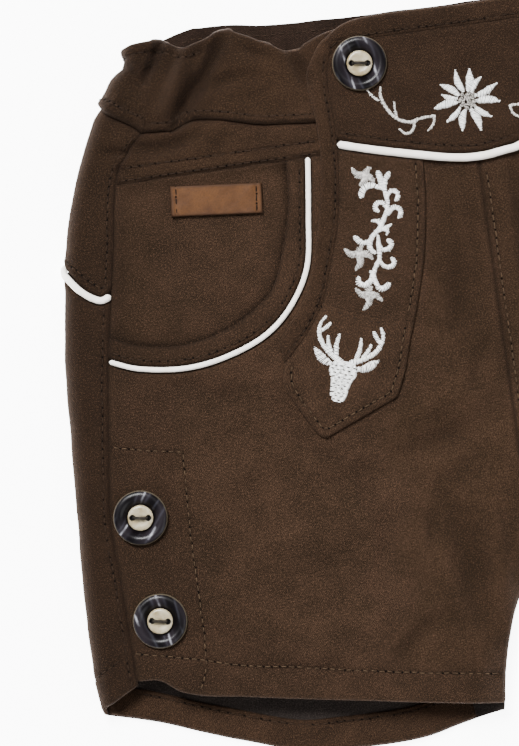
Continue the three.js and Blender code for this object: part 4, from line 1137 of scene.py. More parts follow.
def plain_dark(name, color):
    f = Finish(name, 0.95, 0.05)
    shade = f.noise(f.place(), 0.001, 2.0)
    f.link(f.mix(shade, tuple(0.6 * c for c in color), color), "Base Color")


thread_finish("thread", srgb(27, 19, 13), srgb(47, 34, 24))
thread_finish("thread_light", srgb(48, 37, 27), srgb(73, 58, 43))
thread_finish("label_thread", srgb(14, 9, 7), srgb(30, 21, 16))
thread_finish("button_thread", srgb(20, 18, 15), srgb(52, 47, 41))
# near black: painted shade in the needle holes
plain_dark("hole", srgb(12, 8, 6))
piping_finish()
silk_finish("silk_white", srgb(236, 236, 234), srgb(255, 255, 253))
silk_finish("silk_pale", srgb(178, 173, 166), srgb(228, 225, 219))
# dark strands for the brown cloth and the painted shadow between the stag's threads
silk_finish("silk_shadow", srgb(34, 29, 25), srgb(76, 68, 60))
silk_finish("silk_grey", srgb(120, 116, 111), srgb(206, 202, 197))
silk_finish("silk_centre", srgb(79, 74, 67), srgb(180, 175, 168))
leather_finish()
horn_finish()
cream_finish()

# ---------------------------------------------------------------- front pieces
SEAM_GAP = -0.04      # sewn pieces run a little way into one another, so no light shows between
LAP_GAP = 0.02        # between a panel and the band that runs beside it
UNDERLAP = 3.0        # how far the pocket's panel reaches under its facing
FLAP_LOW = 10.0       # y of the flap's lower corners
pocket_seam = curve(POCKET_SEAM)
pocket_edge = curve(POCKET_EDGE)
flap_inner = curve(FLAP_INNER)
flap_outer = curve(FLAP_OUTER)
on_flap_side = flap_inner[:, 0] <= -44
low_index = int(np.argmin(np.where(on_flap_side, np.abs(flap_inner[:, 1] - FLAP_LOW), np.inf)))
cross_index = int(np.argmin(np.linalg.norm(flap_inner - np.array(STRAP_CROSS[0]), axis=1)))
flap_point = curve([tuple(flap_inner[low_index]), *FLAP_POINT[1:]])
strap_cross = curve([tuple(flap_inner[cross_index]), *STRAP_CROSS[1:]])
strap_inside = curve(STRAP_INSIDE)


def ramp(start, end, step=LINE_STEP):
    return np.linspace(start, end, max(int(abs(end - start) / step), 2) + 1)


def down_side(top, bottom):
    y = ramp(top, bottom)
    return np.column_stack([-seam_at(y), y])


def down_middle(top, bottom):
    y = ramp(top, bottom)
    return np.column_stack([-inner_at(y), y])


def along_edge(table, x_from, x_to):
    x = ramp(x_from, x_to)
    return np.column_stack([x, across(table, x)])


def sided_line(side, line):
    """A line of the viewer's left half as it is, or on the right half."""
    return line if side == LEFT else mirrored(line)


def sided_lines(side, lines):
    return [sided_line(side, line) for line in lines]


def sided(side, edges):
    return [(sided_line(side, line), inset, kind) for line, inset, kind in edges]


def sided_threads(side, groups):
    return [(sided_line(side, paths), heights) for paths, heights in groups]


def front_leg(side, tag):
    """The front panel, from the pocket's piping down to the hem."""
    inside_x, outside_x = -float(inner_at(HEM_INSIDE)), -float(seam_at(HEM_SIDE))
    edges = [
        (pocket_seam, POCKET_CORD + CORD_CLEAR, "cord"),
        (straight(pocket_seam[-1], (0, HIP_SEAM)), SEAM_GAP, "seam"),
        (down_middle(HIP_SEAM, CROTCH), SEAM_GAP, "seam"),
        (down_middle(CROTCH, HEM_INSIDE), SEAM_GAP, "inseam"),
        (along_edge(FRONT_HEM, inside_x, outside_x), 0, "edge"),
        (down_side(HEM_SIDE, POCKET_SIDE), SEAM_GAP, "seam"),
    ]
    rows = [curve(HEM_ROW), curve(PLACKET_TOP), curve(PLACKET_SIDE)]
    if side == RIGHT:              # the centre front is stitched on this half only
        y = ramp(*ROW_ENDS["centre front"])
        rows.append(np.column_stack([np.full_like(y, -ROW["seam"]), y]))

    def sheltered(points):
        """Painted shade between the straps, on the doubled placket and above the hem."""
        x, y = np.abs(points[:, 0]), points[:, 1]
        between_straps = (1 - smooth((x - 8) / 16)) * smooth((y + 82) / 30)
        doubled = smooth((x - 107) / 8) * smooth((-78 - y) / 10)
        return 0.65 * between_straps + 0.05 * doubled + 0.35 * smooth((-150 - y) / 16)

    cloth(f"front_leg_{tag}", sided(side, edges), on_front, 0, CLOTH,
          sided_lines(side, rows), turn=3 * side, tone="light", shade=sheltered)


def pocket(side, tag):
    """The panel seen through the pocket's opening, and the facing round it."""
    edges = [
        (straight((-float(seam_at(HIP_SEAM)), HIP_SEAM), pocket_edge[-1]), SEAM_GAP, "seam"),
        (pocket_edge[::-1], -UNDERLAP, "under"),
        (down_side(pocket_edge[0][1], HIP_SEAM), SEAM_GAP, "seam"),
    ]
    edge_line = spaced(pocket_edge, 2.0)

    def to_edge(points):
        left = np.column_stack([-np.abs(points[:, 0]), points[:, 1]])
        return nearest(left, *segments([edge_line]))[0]

    def rise(points):
        """Up to the seams at the side and the hip, and down under the facing."""
        to_side = seam_at(points[:, 1]) - np.abs(points[:, 0])
        to_hip = HIP_SEAM - points[:, 1]
        raised = np.maximum(1 - smooth(to_side / 5), 1 - smooth(to_hip / 2.6))
        sunk = 1 - smooth(to_edge(points) / 7)
        return 1.3 * raised - 0.9 * sunk * (1 - raised)

    # the panel is painted darker close to the opening's edge: painted shadow under the facing
    cloth(f"pocket_panel_{tag}", sided(side, edges), on_front, -CLOTH - GAP, CLOTH,
          turn=-4 * side, relief=rise, shade=lambda points: 2.1 * np.exp(-to_edge(points) / 1.4))
    side_run = down_side(POCKET_SIDE, pocket_edge[0][1])
    side_run[0], side_run[-1] = pocket_seam[0], pocket_edge[0]
    edges = [
        (pocket_edge, 0, "roll"),
        (straight(pocket_edge[-1], pocket_seam[-1]), SEAM_GAP, "seam"),
        (pocket_seam[::-1], POCKET_CORD + CORD_CLEAR, "cord"),
        (side_run, SEAM_GAP, "seam"),
    ]
    row = beside(pocket_seam, POCKET_CORD + ROW["pocket"])
    # painted shade on the facing
    cloth(f"pocket_facing_{tag}", sided(side, edges), on_front, 0, CLOTH,
          sided_lines(side, [row]), turn=20 * side, shade=0.45)


def hip_band(side, tag):
    """The band between the waist seam and the pocket, with two rows of stitches."""
    edges = [
        (along_edge(FRONT_WAIST, -WAIST_SIDE[0], 0), SEAM_GAP, "tucked"),
        (straight((0, across(FRONT_WAIST, 0)), (0, HIP_SEAM)), SEAM_GAP, "seam"),
        (straight((0, HIP_SEAM), (-seam_at(HIP_SEAM), HIP_SEAM)), SEAM_GAP, "seam"),
        (down_side(HIP_SEAM, WAIST_SIDE[1]), SEAM_GAP, "seam"),
    ]
    rows = [straight(*((x, HIP_SEAM + ROW[row]) for x in ROW_ENDS[row]))
            for row in ("hip low", "hip high")]
    cloth(f"hip_band_{tag}", sided(side, edges), on_front, 0, CLOTH,
          sided_lines(side, rows), material="suede_band")


def waistband_front(side, tag):
    """Half of the waistband's front, from under the flap to the side seam."""
    side_top = float(across(FRONT_TOP, seam_at(BAND_MIDDLE)))
    edges = [
        (along_edge(FRONT_TOP, -float(seam_at(side_top)), 0), 0, "top"),
        (straight((0, across(FRONT_TOP, 0)), (0, across(FRONT_WAIST, 0))), SEAM_GAP, "seam"),
        (along_edge(FRONT_WAIST, 0, -WAIST_SIDE[0]), SEAM_GAP, "lap"),
        (down_side(WAIST_SIDE[1], side_top), SEAM_GAP, "flat"),
    ]
    rows = [along_edge(FRONT_TOP, *ROW_ENDS["front waist top"]) - (0, ROW["front waist top"]),
            along_edge(FRONT_WAIST, *ROW_ENDS["waist seam"]) + (0, ROW["waist seam"])]
    # painted shade on the band, darker towards its top
    cloth(f"waistband_front_{tag}", sided(side, edges), on_front, 0, BAND,
          sided_lines(side, rows), step=1.1, material="suede_band",
          shade=lambda points: 0.15 + 0.35 * smooth((points[:, 1] - 38) / 10))


# ---------------------------------------------------------------- flap and straps
def both_halves(line):
    """A line from the viewer's left to the middle, carried on to the right."""
    return np.vstack([line, mirrored(line)[::-1][1:]])


def flap():
    """The buttoned front flap and the band along its top."""
    top = both_halves(portion(flap_inner, 0, FLAP_CORNER)[::-1])
    side = flap_inner[int(round(FLAP_CORNER * (len(flap_inner) - 1))):low_index + 1]
    point = both_halves(flap_point)
    edges = [(top, LAP_GAP, "soft"), (mirrored(side), LAP_GAP, "soft"),
             (point[::-1], FLAP_CORD + CORD_CLEAR, "cord"), (side[::-1], LAP_GAP, "soft")]
    # painted shade on the flap
    cloth("flap_panel", edges, on_front, FLAP_LAYER, CLOTH, [beside(point, ROW["flap"])],
          material="suede_band", shade=0.75)
    outer = both_halves(portion(flap_outer, 0, FLAP_CORNER)[::-1])
    end = straight(outer[-1], top[-1])
    edges = [(outer, 0, "edge"), (end, 0, "flat"), (top[::-1], LAP_GAP, "soft"),
             (mirrored(end)[::-1], 0, "flat")]
    # painted shade on the flap's top band
    cloth("flap_top_band", edges, on_front, FLAP_LAYER, CLOTH,
          [beside(top, ROW["flap band"])], step=1.2, material="suede_band",
          shade=0.75)


def side_band(side, tag):
    """The band down the flap's side, which runs on beside the strap and its patch."""
    inner = portion(flap_inner, FLAP_CORNER, 1)
    outer = portion(flap_outer, FLAP_CORNER, 1)
    edges = [(outer, 0, "edge"), (straight(outer[-1], inner[-1]), 0, "edge"),
             (inner[::-1], LAP_GAP, "soft"), (straight(inner[0], outer[0]), 0, "flat")]
    row = beside(inner, -ROW["flap band"])
    # painted shade on the side band
    cloth(f"flap_side_band_{tag}", sided(side, edges), on_front, FLAP_LAYER, CLOTH,
          sided_lines(side, [row]), step=1.2, material="suede_band", shade=0.3)


def strap(side, tag):
    """The embroidered strap from the flap's piping down to the cross seam."""
    left = flap_inner[low_index:cross_index + 1]
    top = flap_point[flap_point[:, 0] <= STRAP_INSIDE[0][0]]
    top = np.vstack([top, STRAP_INSIDE[0]])
    edges = [(top, FLAP_CORD + CORD_CLEAR, "cord"), (strap_inside, 0, "edge"),
             (strap_cross[::-1], 0, "flat"), (left[::-1], LAP_GAP, "soft")]
    # painted shade on the strap
    cloth(f"strap_{tag}", sided(side, edges), on_front, FLAP_LAYER, CLOTH,
          sided_lines(side, [beside(strap_inside, -ROW["strap"])]), turn=-12 * side, tone="light",
          shade=0.5)


def strap_patch(side, tag):
    """The pointed patch at the strap's lower end."""
    tail = curve(PATCH_TAIL)
    inner = curve(PATCH_INSIDE)
    point = straight(inner[-1], tail[-1])
    edges = [(strap_cross, 0, "flat"), (inner, 0, "edge"), (point, 0, "edge"),
             (tail[::-1], 0, "edge"), (flap_inner[cross_index:][::-1], LAP_GAP, "soft")]
    around = np.vstack([inner, point[1:], tail[::-1][1:]])
    rows = [beside(spaced(around, 1.0), -ROW["strap"])]
    cross_row = sided_line(side, beside(strap_cross, -ROW["strap cross"]))
    sew(on_front, cross_row, FLAP_LAYER - 0.12)
    cloth(f"strap_patch_{tag}", sided(side, edges), on_front, FLAP_LAYER, CLOTH,
          sided_lines(side, rows), turn=18 * side, tone="light")


# ---------------------------------------------------------------- back pieces, in run and y
def round_half(table):
    share = ramp(-1, 1, 0.004)
    y = follow(table, share)
    return np.where(share < 0, -share * run_to_middle(y), share * run_to_seam(y)), y


def round_edge(table):
    """An edge of one half of the back, from the centre back round the fold to the side seam."""
    return spaced(np.column_stack(round_half(table)), ROUND_STEP)


def run_line(where, top, bottom):
    y = ramp(top, bottom)
    return np.column_stack([where(y), y])


def underneath(points):
    """Where the back lies flat and out of sight, so its mesh can be coarse."""
    return points[:, 0] < -QUARTER - 4


def back_leg(side, tag):
    """The back panel, which wraps round the side fold to the side seam on the front."""
    top, hem = round_edge(YOKE_SEAM), round_edge(BACK_HEM)
    edges = [
        (top, YOKE_CORD + CORD_CLEAR, "cord"),
        (run_line(run_to_seam, top[-1][1], hem[-1][1]), SEAM_GAP, "seam"),
        (hem[::-1], 0, "turned"),
        (run_line(run_to_middle, hem[0][1], CROTCH), SEAM_GAP, "inseam"),
        (run_line(run_to_middle, CROTCH, top[0][1]), SEAM_GAP, "seam"),
    ]
    seam_row = run_line(lambda y: run_to_seam(y) - ROW["seam"], *ROW_ENDS["leg side"])
    hem_row = beside(hem, ROW["hem"])
    cloth(f"back_leg_{tag}", edges, on_tube(side), 0, CLOTH, [seam_row, hem_row],
          coarse=underneath, material="suede_band")


def back_yoke(side, tag):
    """The panel between the waistband and the back leg."""
    waist, low = round_edge(BACK_WAIST), round_edge(YOKE_SEAM)
    edges = [
        (waist, SEAM_GAP, "tucked"),
        (run_line(run_to_seam, waist[-1][1], low[-1][1]), SEAM_GAP, "seam"),
        (low[::-1], YOKE_CORD + CORD_CLEAR, "cord"),
        (run_line(run_to_middle, low[0][1], waist[0][1]), SEAM_GAP, "seam"),
    ]
    seam_row = run_line(lambda y: run_to_seam(y) - ROW["seam"], *ROW_ENDS["yoke side"])
    rows = [seam_row, beside(low, ROW["yoke"])]
    cloth(f"back_yoke_{tag}", edges, on_tube(side), 0, CLOTH, rows, coarse=underneath,
          material="suede_band")


def half_run(points):
    """Points of the waistband's plane as run and y, and which of them are on the left."""
    s, y = np.asarray(points).T
    return np.column_stack([np.abs(s) + run_to_middle(y), y]), (s < 0)[:, None]


def waist_place(points, out):
    """The waistband's own plane: the distance round from the centre back, and y."""
    run, is_left = half_run(points)
    out = np.broadcast_to(out, len(points))
    return np.where(is_left, on_tube(LEFT)(run, out), on_tube(RIGHT)(run, out))


def waist_unrolled(points):
    run, is_left = half_run(points)
    return np.where(is_left, on_tube(LEFT).unrolled(run), on_tube(RIGHT).unrolled(run))


waist_place.unrolled = waist_unrolled
waist_place.way = -1               # seen from outside, the plane of the back is turned over


def round_whole(table):
    """An edge of the waistband from one side seam round the back to the other."""
    run, y = round_half(table)
    half = np.column_stack([run - run_to_middle(y), y])
    half[0, 0] = 0
    return spaced(np.vstack([mirrored(half)[::-1], half[1:]]), ROUND_STEP)


def waistband_back():
    """The gathered band from one side seam round the back to the other."""
    top, low = round_whole(BACK_TOP), round_whole(BACK_WAIST)
    end = run_line(lambda y: run_to_seam(y) - run_to_middle(y), top[-1][1], low[-1][1])
    edges = [(top, 0, "top"), (end, SEAM_GAP, "flat"), (low[::-1], SEAM_GAP, "lap"),
             (mirrored(end)[::-1], SEAM_GAP, "flat")]
    upper, lower = beside(top, -ROW["back waist top"]), beside(low, ROW["waist seam"])
    # the inside of the band takes the finish painted in shade
    cloth("waistband_back", edges, waist_place, 0, BAND, [upper, lower], step=1.7,
          material="suede_band", reverse="suede_in_painted_shade",
          coarse=lambda p: np.abs(p[:, 0]) < 60, relief=gathers)
    start, end = ROW_ENDS["inside waist"]
    inside_row = upper[(upper[:, 0] > start) & (upper[:, 0] < end)]
    sew(waist_place, inside_row, -BAND - 0.05, relief=half_swell, turned=True)


def gathers(points):
    """The elastic draws the band into soft uneven pleats."""
    s, y = points.T
    return 0.35 * soft_noise(s, y * 0.12, 3.4, 8) * smooth((54 - y) / 3) * (np.abs(s) < 95)


def half_swell(points):
    """The inner face swells half as much as the outer one."""
    return -0.5 * undulation(waist_unrolled(points))


TURN_UP = 10.6         # depth of the back legs' turned-up hem
TURN_UP_GAP = 0.1      # between the leg and its turn-up


def back_hem(side, tag):
    """The turned-up hem that shows inside the back of the leg."""
    hem = round_edge(BACK_HEM)
    low = hem[(hem[:, 0] < -2) & (hem[:, 0] > run_to_middle(hem[:, 1]) + 0.7 * INSEAM_RUN)]
    low = low + (0, 0.4)
    top = low + (0, TURN_UP)
    edges = [(top, 0, "turned"), (straight(top[-1], low[-1]), 0, "seam"), (low[::-1], 0, "turned"),
             (straight(low[0], top[0]), 0, "seam")]
    tube = on_tube(side)

    def facing_in(points, out):
        return tube(points, -out)

    facing_in.unrolled = tube.unrolled
    facing_in.way = side

    cloth(f"back_hem_{tag}", edges, facing_in, 2 * CLOTH + TURN_UP_GAP, CLOTH,
          [beside(top, -ROW["turn-up"])], material="suede_band")


# ---------------------------------------------------------------- pipings and label
CORD_STEP = 0.7        # between the rings of a cord


def cord(name, route, ups, radius):
    """A round covered cord along points in the garment, its ends rounded over."""
    sides = 14
    along = np.gradient(route, axis=0)
    along /= np.linalg.norm(along, axis=1)[:, None]
    side_way = np.cross(along, ups)
    side_way /= np.linalg.norm(side_way, axis=1)[:, None]
    up_way = np.cross(side_way, along)
    run = np.concatenate([[0], np.cumsum(np.linalg.norm(np.diff(route, axis=0), axis=1))])
    to_end = np.minimum(run, run[-1] - run)
    blunt = 1 - np.minimum(to_end / (0.9 * radius), 1)
    size = radius * np.sqrt(np.clip(1 - blunt ** 2, 0.04, 1))
    size = size * (1 + 0.035 * soft_noise(run, run * 0 + radius, 2.1, 21))
    angle = np.arange(sides) * 2 * math.pi / sides
    ring = (route[:, None] + size[:, None, None] * (np.cos(angle)[None, :, None] * up_way[:, None]
            + np.sin(angle)[None, :, None] * side_way[:, None]))
    rows, k = np.arange(len(route) - 1)[:, None] * sides, np.arange(sides)[None]
    a, b = rows + k, rows + (k + 1) % sides
    quads = np.stack([b, a, a + sides, b + sides], axis=2).reshape(-1, 4)
    last = (len(route) - 1) * sides
    caps = [list(range(sides)), [last + i for i in reversed(range(sides))]]
    return new_piece(name + "_cord", to_metres(ring.reshape(-1, 3)), [*quads.tolist(), *caps],
                     MATERIALS["piping"], [name])


def pipings(side, tag):
    """The cords round the pocket and between yoke and back leg."""
    route = sided_line(side, spaced(pocket_seam, CORD_STEP))
    swell = undulation(route)
    ups = np.tile([0.0, 0, 1], (len(route), 1))
    cord(f"pocket_piping_{tag}", on_front(route, CORD_UP["pocket"] + swell), ups, POCKET_CORD)
    route = spaced(round_edge(YOKE_SEAM), CORD_STEP)
    tube = on_tube(side)
    rise = smooth((route[:, 0] / QUARTER + 1) / 0.9)
    up = CORD_UP["yoke"] + undulation(tube.unrolled(route))
    out = (-YOKE_CORD - GAP) * (1 - rise) + up * rise      # sunk into the seam where the back rests
    cord(f"yoke_piping_{tag}", tube(route, out), tube(route, out + 1) - tube(route, out), YOKE_CORD)


def flap_piping():
    route = spaced(both_halves(flap_point), 0.8)
    ups = np.tile([0.0, 0, 1], (len(route), 1))
    cord("flap_piping", on_front(route, GAP + FLAP_CORD + undulation(route)), ups, FLAP_CORD)


def label():
    """A bare leather patch, sewn down at both ends."""
    width, height, thick, turn = (LABEL[key] for key in ("width", "height", "thick", "turn"))

    def corner(u, v):
        return np.array([u * width / 2, v * height / 2]) @ rotation(turn) + (LABEL["x"], LABEL["y"])

    corners = [corner(-1, 1), corner(1, 1), corner(1, -1), corner(-1, -1)]
    edges = [(straight(a, b), 0, "cut") for a, b in zip(corners, corners[1:] + corners[:1])]
    out_to, up_to = 0.88, 0.92     # where its rows stand, as shares of its half width and height
    ends = [straight(corner(u, up_to), corner(u, -up_to)) for u in (-out_to, out_to)]
    cloth("leather_label", edges, on_front, -CLOTH + thick, thick, ends, step=1.0,
          turn=turn, material="leather", reverse="leather")


# ---------------------------------------------------------------- buttons
RIM_RADIUS, BOSS_RADIUS, HOLE_RADIUS, HOLE_GAP = 9.0, 4.2, 0.95, 2.6
WELL_RADIUS = 4.85     # the floor of the rim's well, below the boss
# thickness of each disc, and how its top face is drawn in and moved: (inset, rise)
RIM_THICK, BOSS_THICK = 2.2, 1.9
RIM_STEPS = [(0.3, 0.3), (0.1, 0.3), (0.7, 0.35), (1.1, 0.1), (1.05, -0.55), (0.85, -0.85),
             (0.12, -0.9)]
BOSS_STEPS = [(0.25, 0.28), (0.5, 0.17), (0.75, -0.12), (0.9, -0.16)]
HORN_EDGE = 0.38       # width of the tan layer that shows round the rim
BORE_TOP = 2.16        # height below which a boss's holes are painted near black, painted shade in the holes
# the thread over the boss: each strand's y and rise, shares of the way to a hole, and heights
BAR_STRANDS = ((-0.24, 0), (0.02, 0.14), (0.25, 0.03))
BAR_SHARES = np.array([-1, -1, -0.88, -0.45, 0, 0.45, 0.88, 1, 1])
BAR_HEIGHTS = np.array([-0.2, 1.5, 2.15, 2.4, 2.45, 2.4, 2.15, 1.5, -0.2])


def start_clean():
    if bpy.context.mode != "OBJECT":
        bpy.ops.object.mode_set(mode="OBJECT")
    bpy.ops.object.select_all(action="DESELECT")


def select_faces(test):
    """In edit mode, selects the faces whose centre passes a test, and nothing else."""
    bpy.ops.mesh.select_all(action="DESELECT")
    mesh = bmesh.from_edit_mesh(bpy.context.object.data)
    for face in mesh.faces:
        face.select = test(face.calc_center_median(), face.normal)
    bmesh.update_edit_mesh(bpy.context.object.data)


def select_edges(test):
    """In edit mode, selects the edges both of whose ends pass a test, and nothing else."""
    bpy.ops.mesh.select_all(action="DESELECT")
    bpy.ops.mesh.select_mode(type="EDGE")
    mesh = bmesh.from_edit_mesh(bpy.context.object.data)
    for edge in mesh.edges:
        edge.select = all(test(v.co) for v in edge.verts)
    bmesh.update_edit_mesh(bpy.context.object.data)


def apply_modifier(kind, **settings):
    modifier = bpy.context.object.modifiers.new(kind, kind)
    for key, value in settings.items():
        setattr(modifier, key, value)
    bpy.ops.object.modifier_apply(modifier=modifier.name)


def turned_disc(radius, depth, sides, steps):
    """A disc whose top face is drawn in and moved by steps, each (inset, rise)."""
    start_clean()
    bpy.ops.mesh.primitive_cylinder_add(vertices=sides, radius=radius, depth=depth,
                                        location=(0, 0, depth / 2))
    bpy.ops.object.mode_set(mode="EDIT")
    bpy.ops.mesh.select_mode(type="FACE")
    select_faces(lambda centre, normal: normal.z > 0.9)
    for inset, rise in steps:
        bpy.ops.mesh.inset(thickness=inset)
        bpy.ops.transform.translate(value=(0, 0, rise))
    return bpy.context.object


def close_up():
    """Faces all look outwards, and edit mode is left."""
    bpy.ops.mesh.select_all(action="SELECT")
    bpy.ops.mesh.normals_make_consistent(inside=False)
    bpy.ops.object.mode_set(mode="OBJECT")


def make_active(piece):
    start_clean()
    piece.select_set(True)
    bpy.context.view_layer.objects.active = piece


def button_rim():
    """A dished disc with a raised ring, and a deep well for the boss."""
    disc = turned_disc(RIM_RADIUS, RIM_THICK, 72, RIM_STEPS)
    select_edges(lambda co: co.z < 0.1 and math.hypot(co.x, co.y) > RIM_RADIUS - 0.1)
    bpy.ops.mesh.bevel(offset=0.8, segments=3)
    close_up()
    apply_modifier("SUBSURF", levels=1, render_levels=1)
    bpy.ops.object.shade_smooth_by_angle(angle=math.radians(50))
    return disc


def button_boss():
    """A low cushion-topped disc with two holes through it."""
    boss = turned_disc(BOSS_RADIUS, BOSS_THICK, 56, BOSS_STEPS)
    close_up()
    for way in (LEFT, RIGHT):
        start_clean()
        bpy.ops.mesh.primitive_cylinder_add(vertices=24, radius=HOLE_RADIUS, depth=8,
                                            location=(way * HOLE_GAP, 0, 1))
        cutter = bpy.context.object
        make_active(boss)
        apply_modifier("BOOLEAN", operation="DIFFERENCE", object=cutter, solver="EXACT")
        bpy.data.objects.remove(cutter)
    make_active(boss)
    apply_modifier("BEVEL", width=0.12, segments=2, limit_method="ANGLE")
    bpy.ops.object.shade_smooth_by_angle(angle=math.radians(40))
    return boss


def button_thread():
    """Strands over the boss from hole to hole, drawn together, with a leg down each hole."""
    parts = []
    for y, lift in BAR_STRANDS:
        x = BAR_SHARES * (HOLE_GAP - 0.25)
        paths = np.column_stack([x, y * (1 + 0.3 * np.abs(x) / HOLE_GAP)])[None]
        parts.append(strands(lambda p, out: np.column_stack([p, out]), paths,
                             (BAR_HEIGHTS + lift)[None], 0.22, sides=7, swelling=False))
    return joined(parts)


def button_frame(x, y, turn, seat):
    """The matrix that sets a button, made about its own middle, on the cloth."""
    point = np.array([[x, y]])
    face = on_front(point, 0.0)[0]
    normal = Vector(on_front(point, 1.0)[0] - face)
    lean = Vector((0, 0, 1)).rotation_difference(normal).to_matrix().to_4x4()
    centre = to_metres(face + np.array(normal) * seat)
    return (Matrix.Translation(centre) @ lean @ Matrix.Rotation(math.radians(turn), 4, "Z")
            @ Matrix.Scale(0.001, 4))


def settle(piece, name, slot, node, matrix, seed, grain):
    """A copy of a button part with its place in its mesh."""
    mesh = piece.data.copy()
    mesh.materials.clear()
    mesh.materials.append(MATERIALS[slot])
    copy = bpy.data.objects.new(name, mesh)
    bpy.context.scene.collection.objects.link(copy)
    co = np.zeros(len(mesh.vertices) * 3, np.float32)
    mesh.vertices.foreach_get("co", co)
    co = co.reshape(-1, 3)
    set_pattern(copy, co[:, :2] @ rotation(grain) + 40.0 * seed)
    radius = np.hypot(co[:, 0], co[:, 1])
    set_attribute(copy, "under", smooth((radius - RIM_RADIUS + HORN_EDGE) / 0.12))
    # the holes through the boss, and the well of the rim under it, are painted near black: painted
    # shade
    to_hole = np.hypot(np.abs(co[:, 0]) - HOLE_GAP, co[:, 1])
    bored = (to_hole < HOLE_RADIUS + 0.04) & (co[:, 2] < BORE_TOP)
    set_attribute(copy, "painted_hole_shade", bored if slot == "cream" else radius < WELL_RADIUS)
    mesh.transform(matrix)
    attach(copy, "root")
    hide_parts(node)
    return copy


def buttons():
    rim, boss = button_rim(), button_boss()
    vertices, faces = button_thread()
    for seed, (name, x, y, turn, height, grain) in enumerate(BUTTONS):
        matrix = button_frame(x, y, turn, height + BUTTON_SEAT)
        settle(rim, f"button_horn_{name}", "horn", f"button_rim_{name}", matrix, seed, grain)
        settle(boss, f"button_middle_{name}", "cream", f"button_boss_{name}", matrix, seed, 0)
        placed = [matrix @ Vector(v) for v in vertices]
        new_piece(f"button_strands_{name}", placed, faces, MATERIALS["button_thread"],
                  [f"button_thread_{name}"])
    for part in (rim, boss):
        bpy.data.objects.remove(part)


# ---------------------------------------------------------------- embroidery
SILK = FLAP_LAYER - 0.05       # the silk starts just inside the cloth's face


def edelweiss():
    """White woolly petals, long and short, round a knotted grey centre."""
    centre = np.array([-1.3, 18.4])
    petals = [(103, 11.0, 2.5), (77, 10.8, 3.1), (51, 9.4, 2.0), (22, 11.8, 2.5), (-9, 11.2, 3.0),
              (-41, 10.0, 2.2), (-72, 11.2, 2.8), (-106, 10.4, 2.8), (-141, 9.8, 2.1),
              (-174, 11.2, 3.0), (159, 8.6, 1.9), (141, 10.4, 2.6)]
    groups = []
    for number, (angle, length, width) in enumerate(petals):
        way = np.array([math.cos(math.radians(angle)), math.sin(math.radians(angle))])
        bend = np.array([-way[1], way[0]]) * 0.55 * (-1) ** number
        reach = way * (0.96 * length)
        spine = curve([centre + way * 3.2, centre + reach * 0.6 + bend, centre + reach])
        widths = [0.9, width * 0.75, width * 0.92, width * 0.85, width * 0.55, 0.3]
        groups.append(satin(spine, widths, SILK, lean=0.35, seed=number))
    return groups


def knots(centre, radius, count, seed):
    """Small looped knots crowded round a centre."""
    random = np.random.default_rng(seed)
    groups = []
    for number in range(count):
        angle = number * 2.4
        away = radius * math.sqrt((number + 0.4) / count)
        middle = centre + away * np.array([math.cos(angle), math.sin(angle)])
        spin = random.uniform(0, 6.28) + np.linspace(0, 5.4, 8)
        loop = middle + 0.42 * np.column_stack([np.cos(spin), np.sin(spin)])
        groups.append((loop[None], np.full((1, 8), SILK + 0.55 + 0.2 * (number % 3))))
    return groups


def twig(side):
    """A bare forked twig between the flower and the button."""
    groups = []
    branches = [
        ([(-33.4, 26.6), (-31.6, 24.0), (-29.9, 22.4)], [0.6, 0.8, 1.0]),
        ([(-28.7, 26.6), (-29.0, 23.4), (-27.8, 19.8), (-25.0, 15.9), (-20.8, 14.0), (-16.6, 14.8),
          (-12.4, 14.9)], [0.6, 1.2, 1.4, 1.4, 1.3, 1.2, 1.0]),
        ([(-24.9, 21.1), (-25.0, 18.8), (-24.7, 16.4)], [0.5, 0.8, 1.0]),
        ([(-12.5, 14.8), (-13.1, 12.4), (-15.2, 10.4)], [1.0, 0.9, 0.5]),
        ([(-19.0, 13.8), (-20.4, 11.0), (-22.6, 10.5), (-24.4, 12.2)], [0.9, 1.1, 1.1, 0.8]),
    ]
    for number, (points, widths) in enumerate(branches):
        line = sided_line(side, curve(points))
        groups.append(satin(line, 0.74 * np.array(widths), SILK, lean=0.5, seed=30 + number))
    return groups


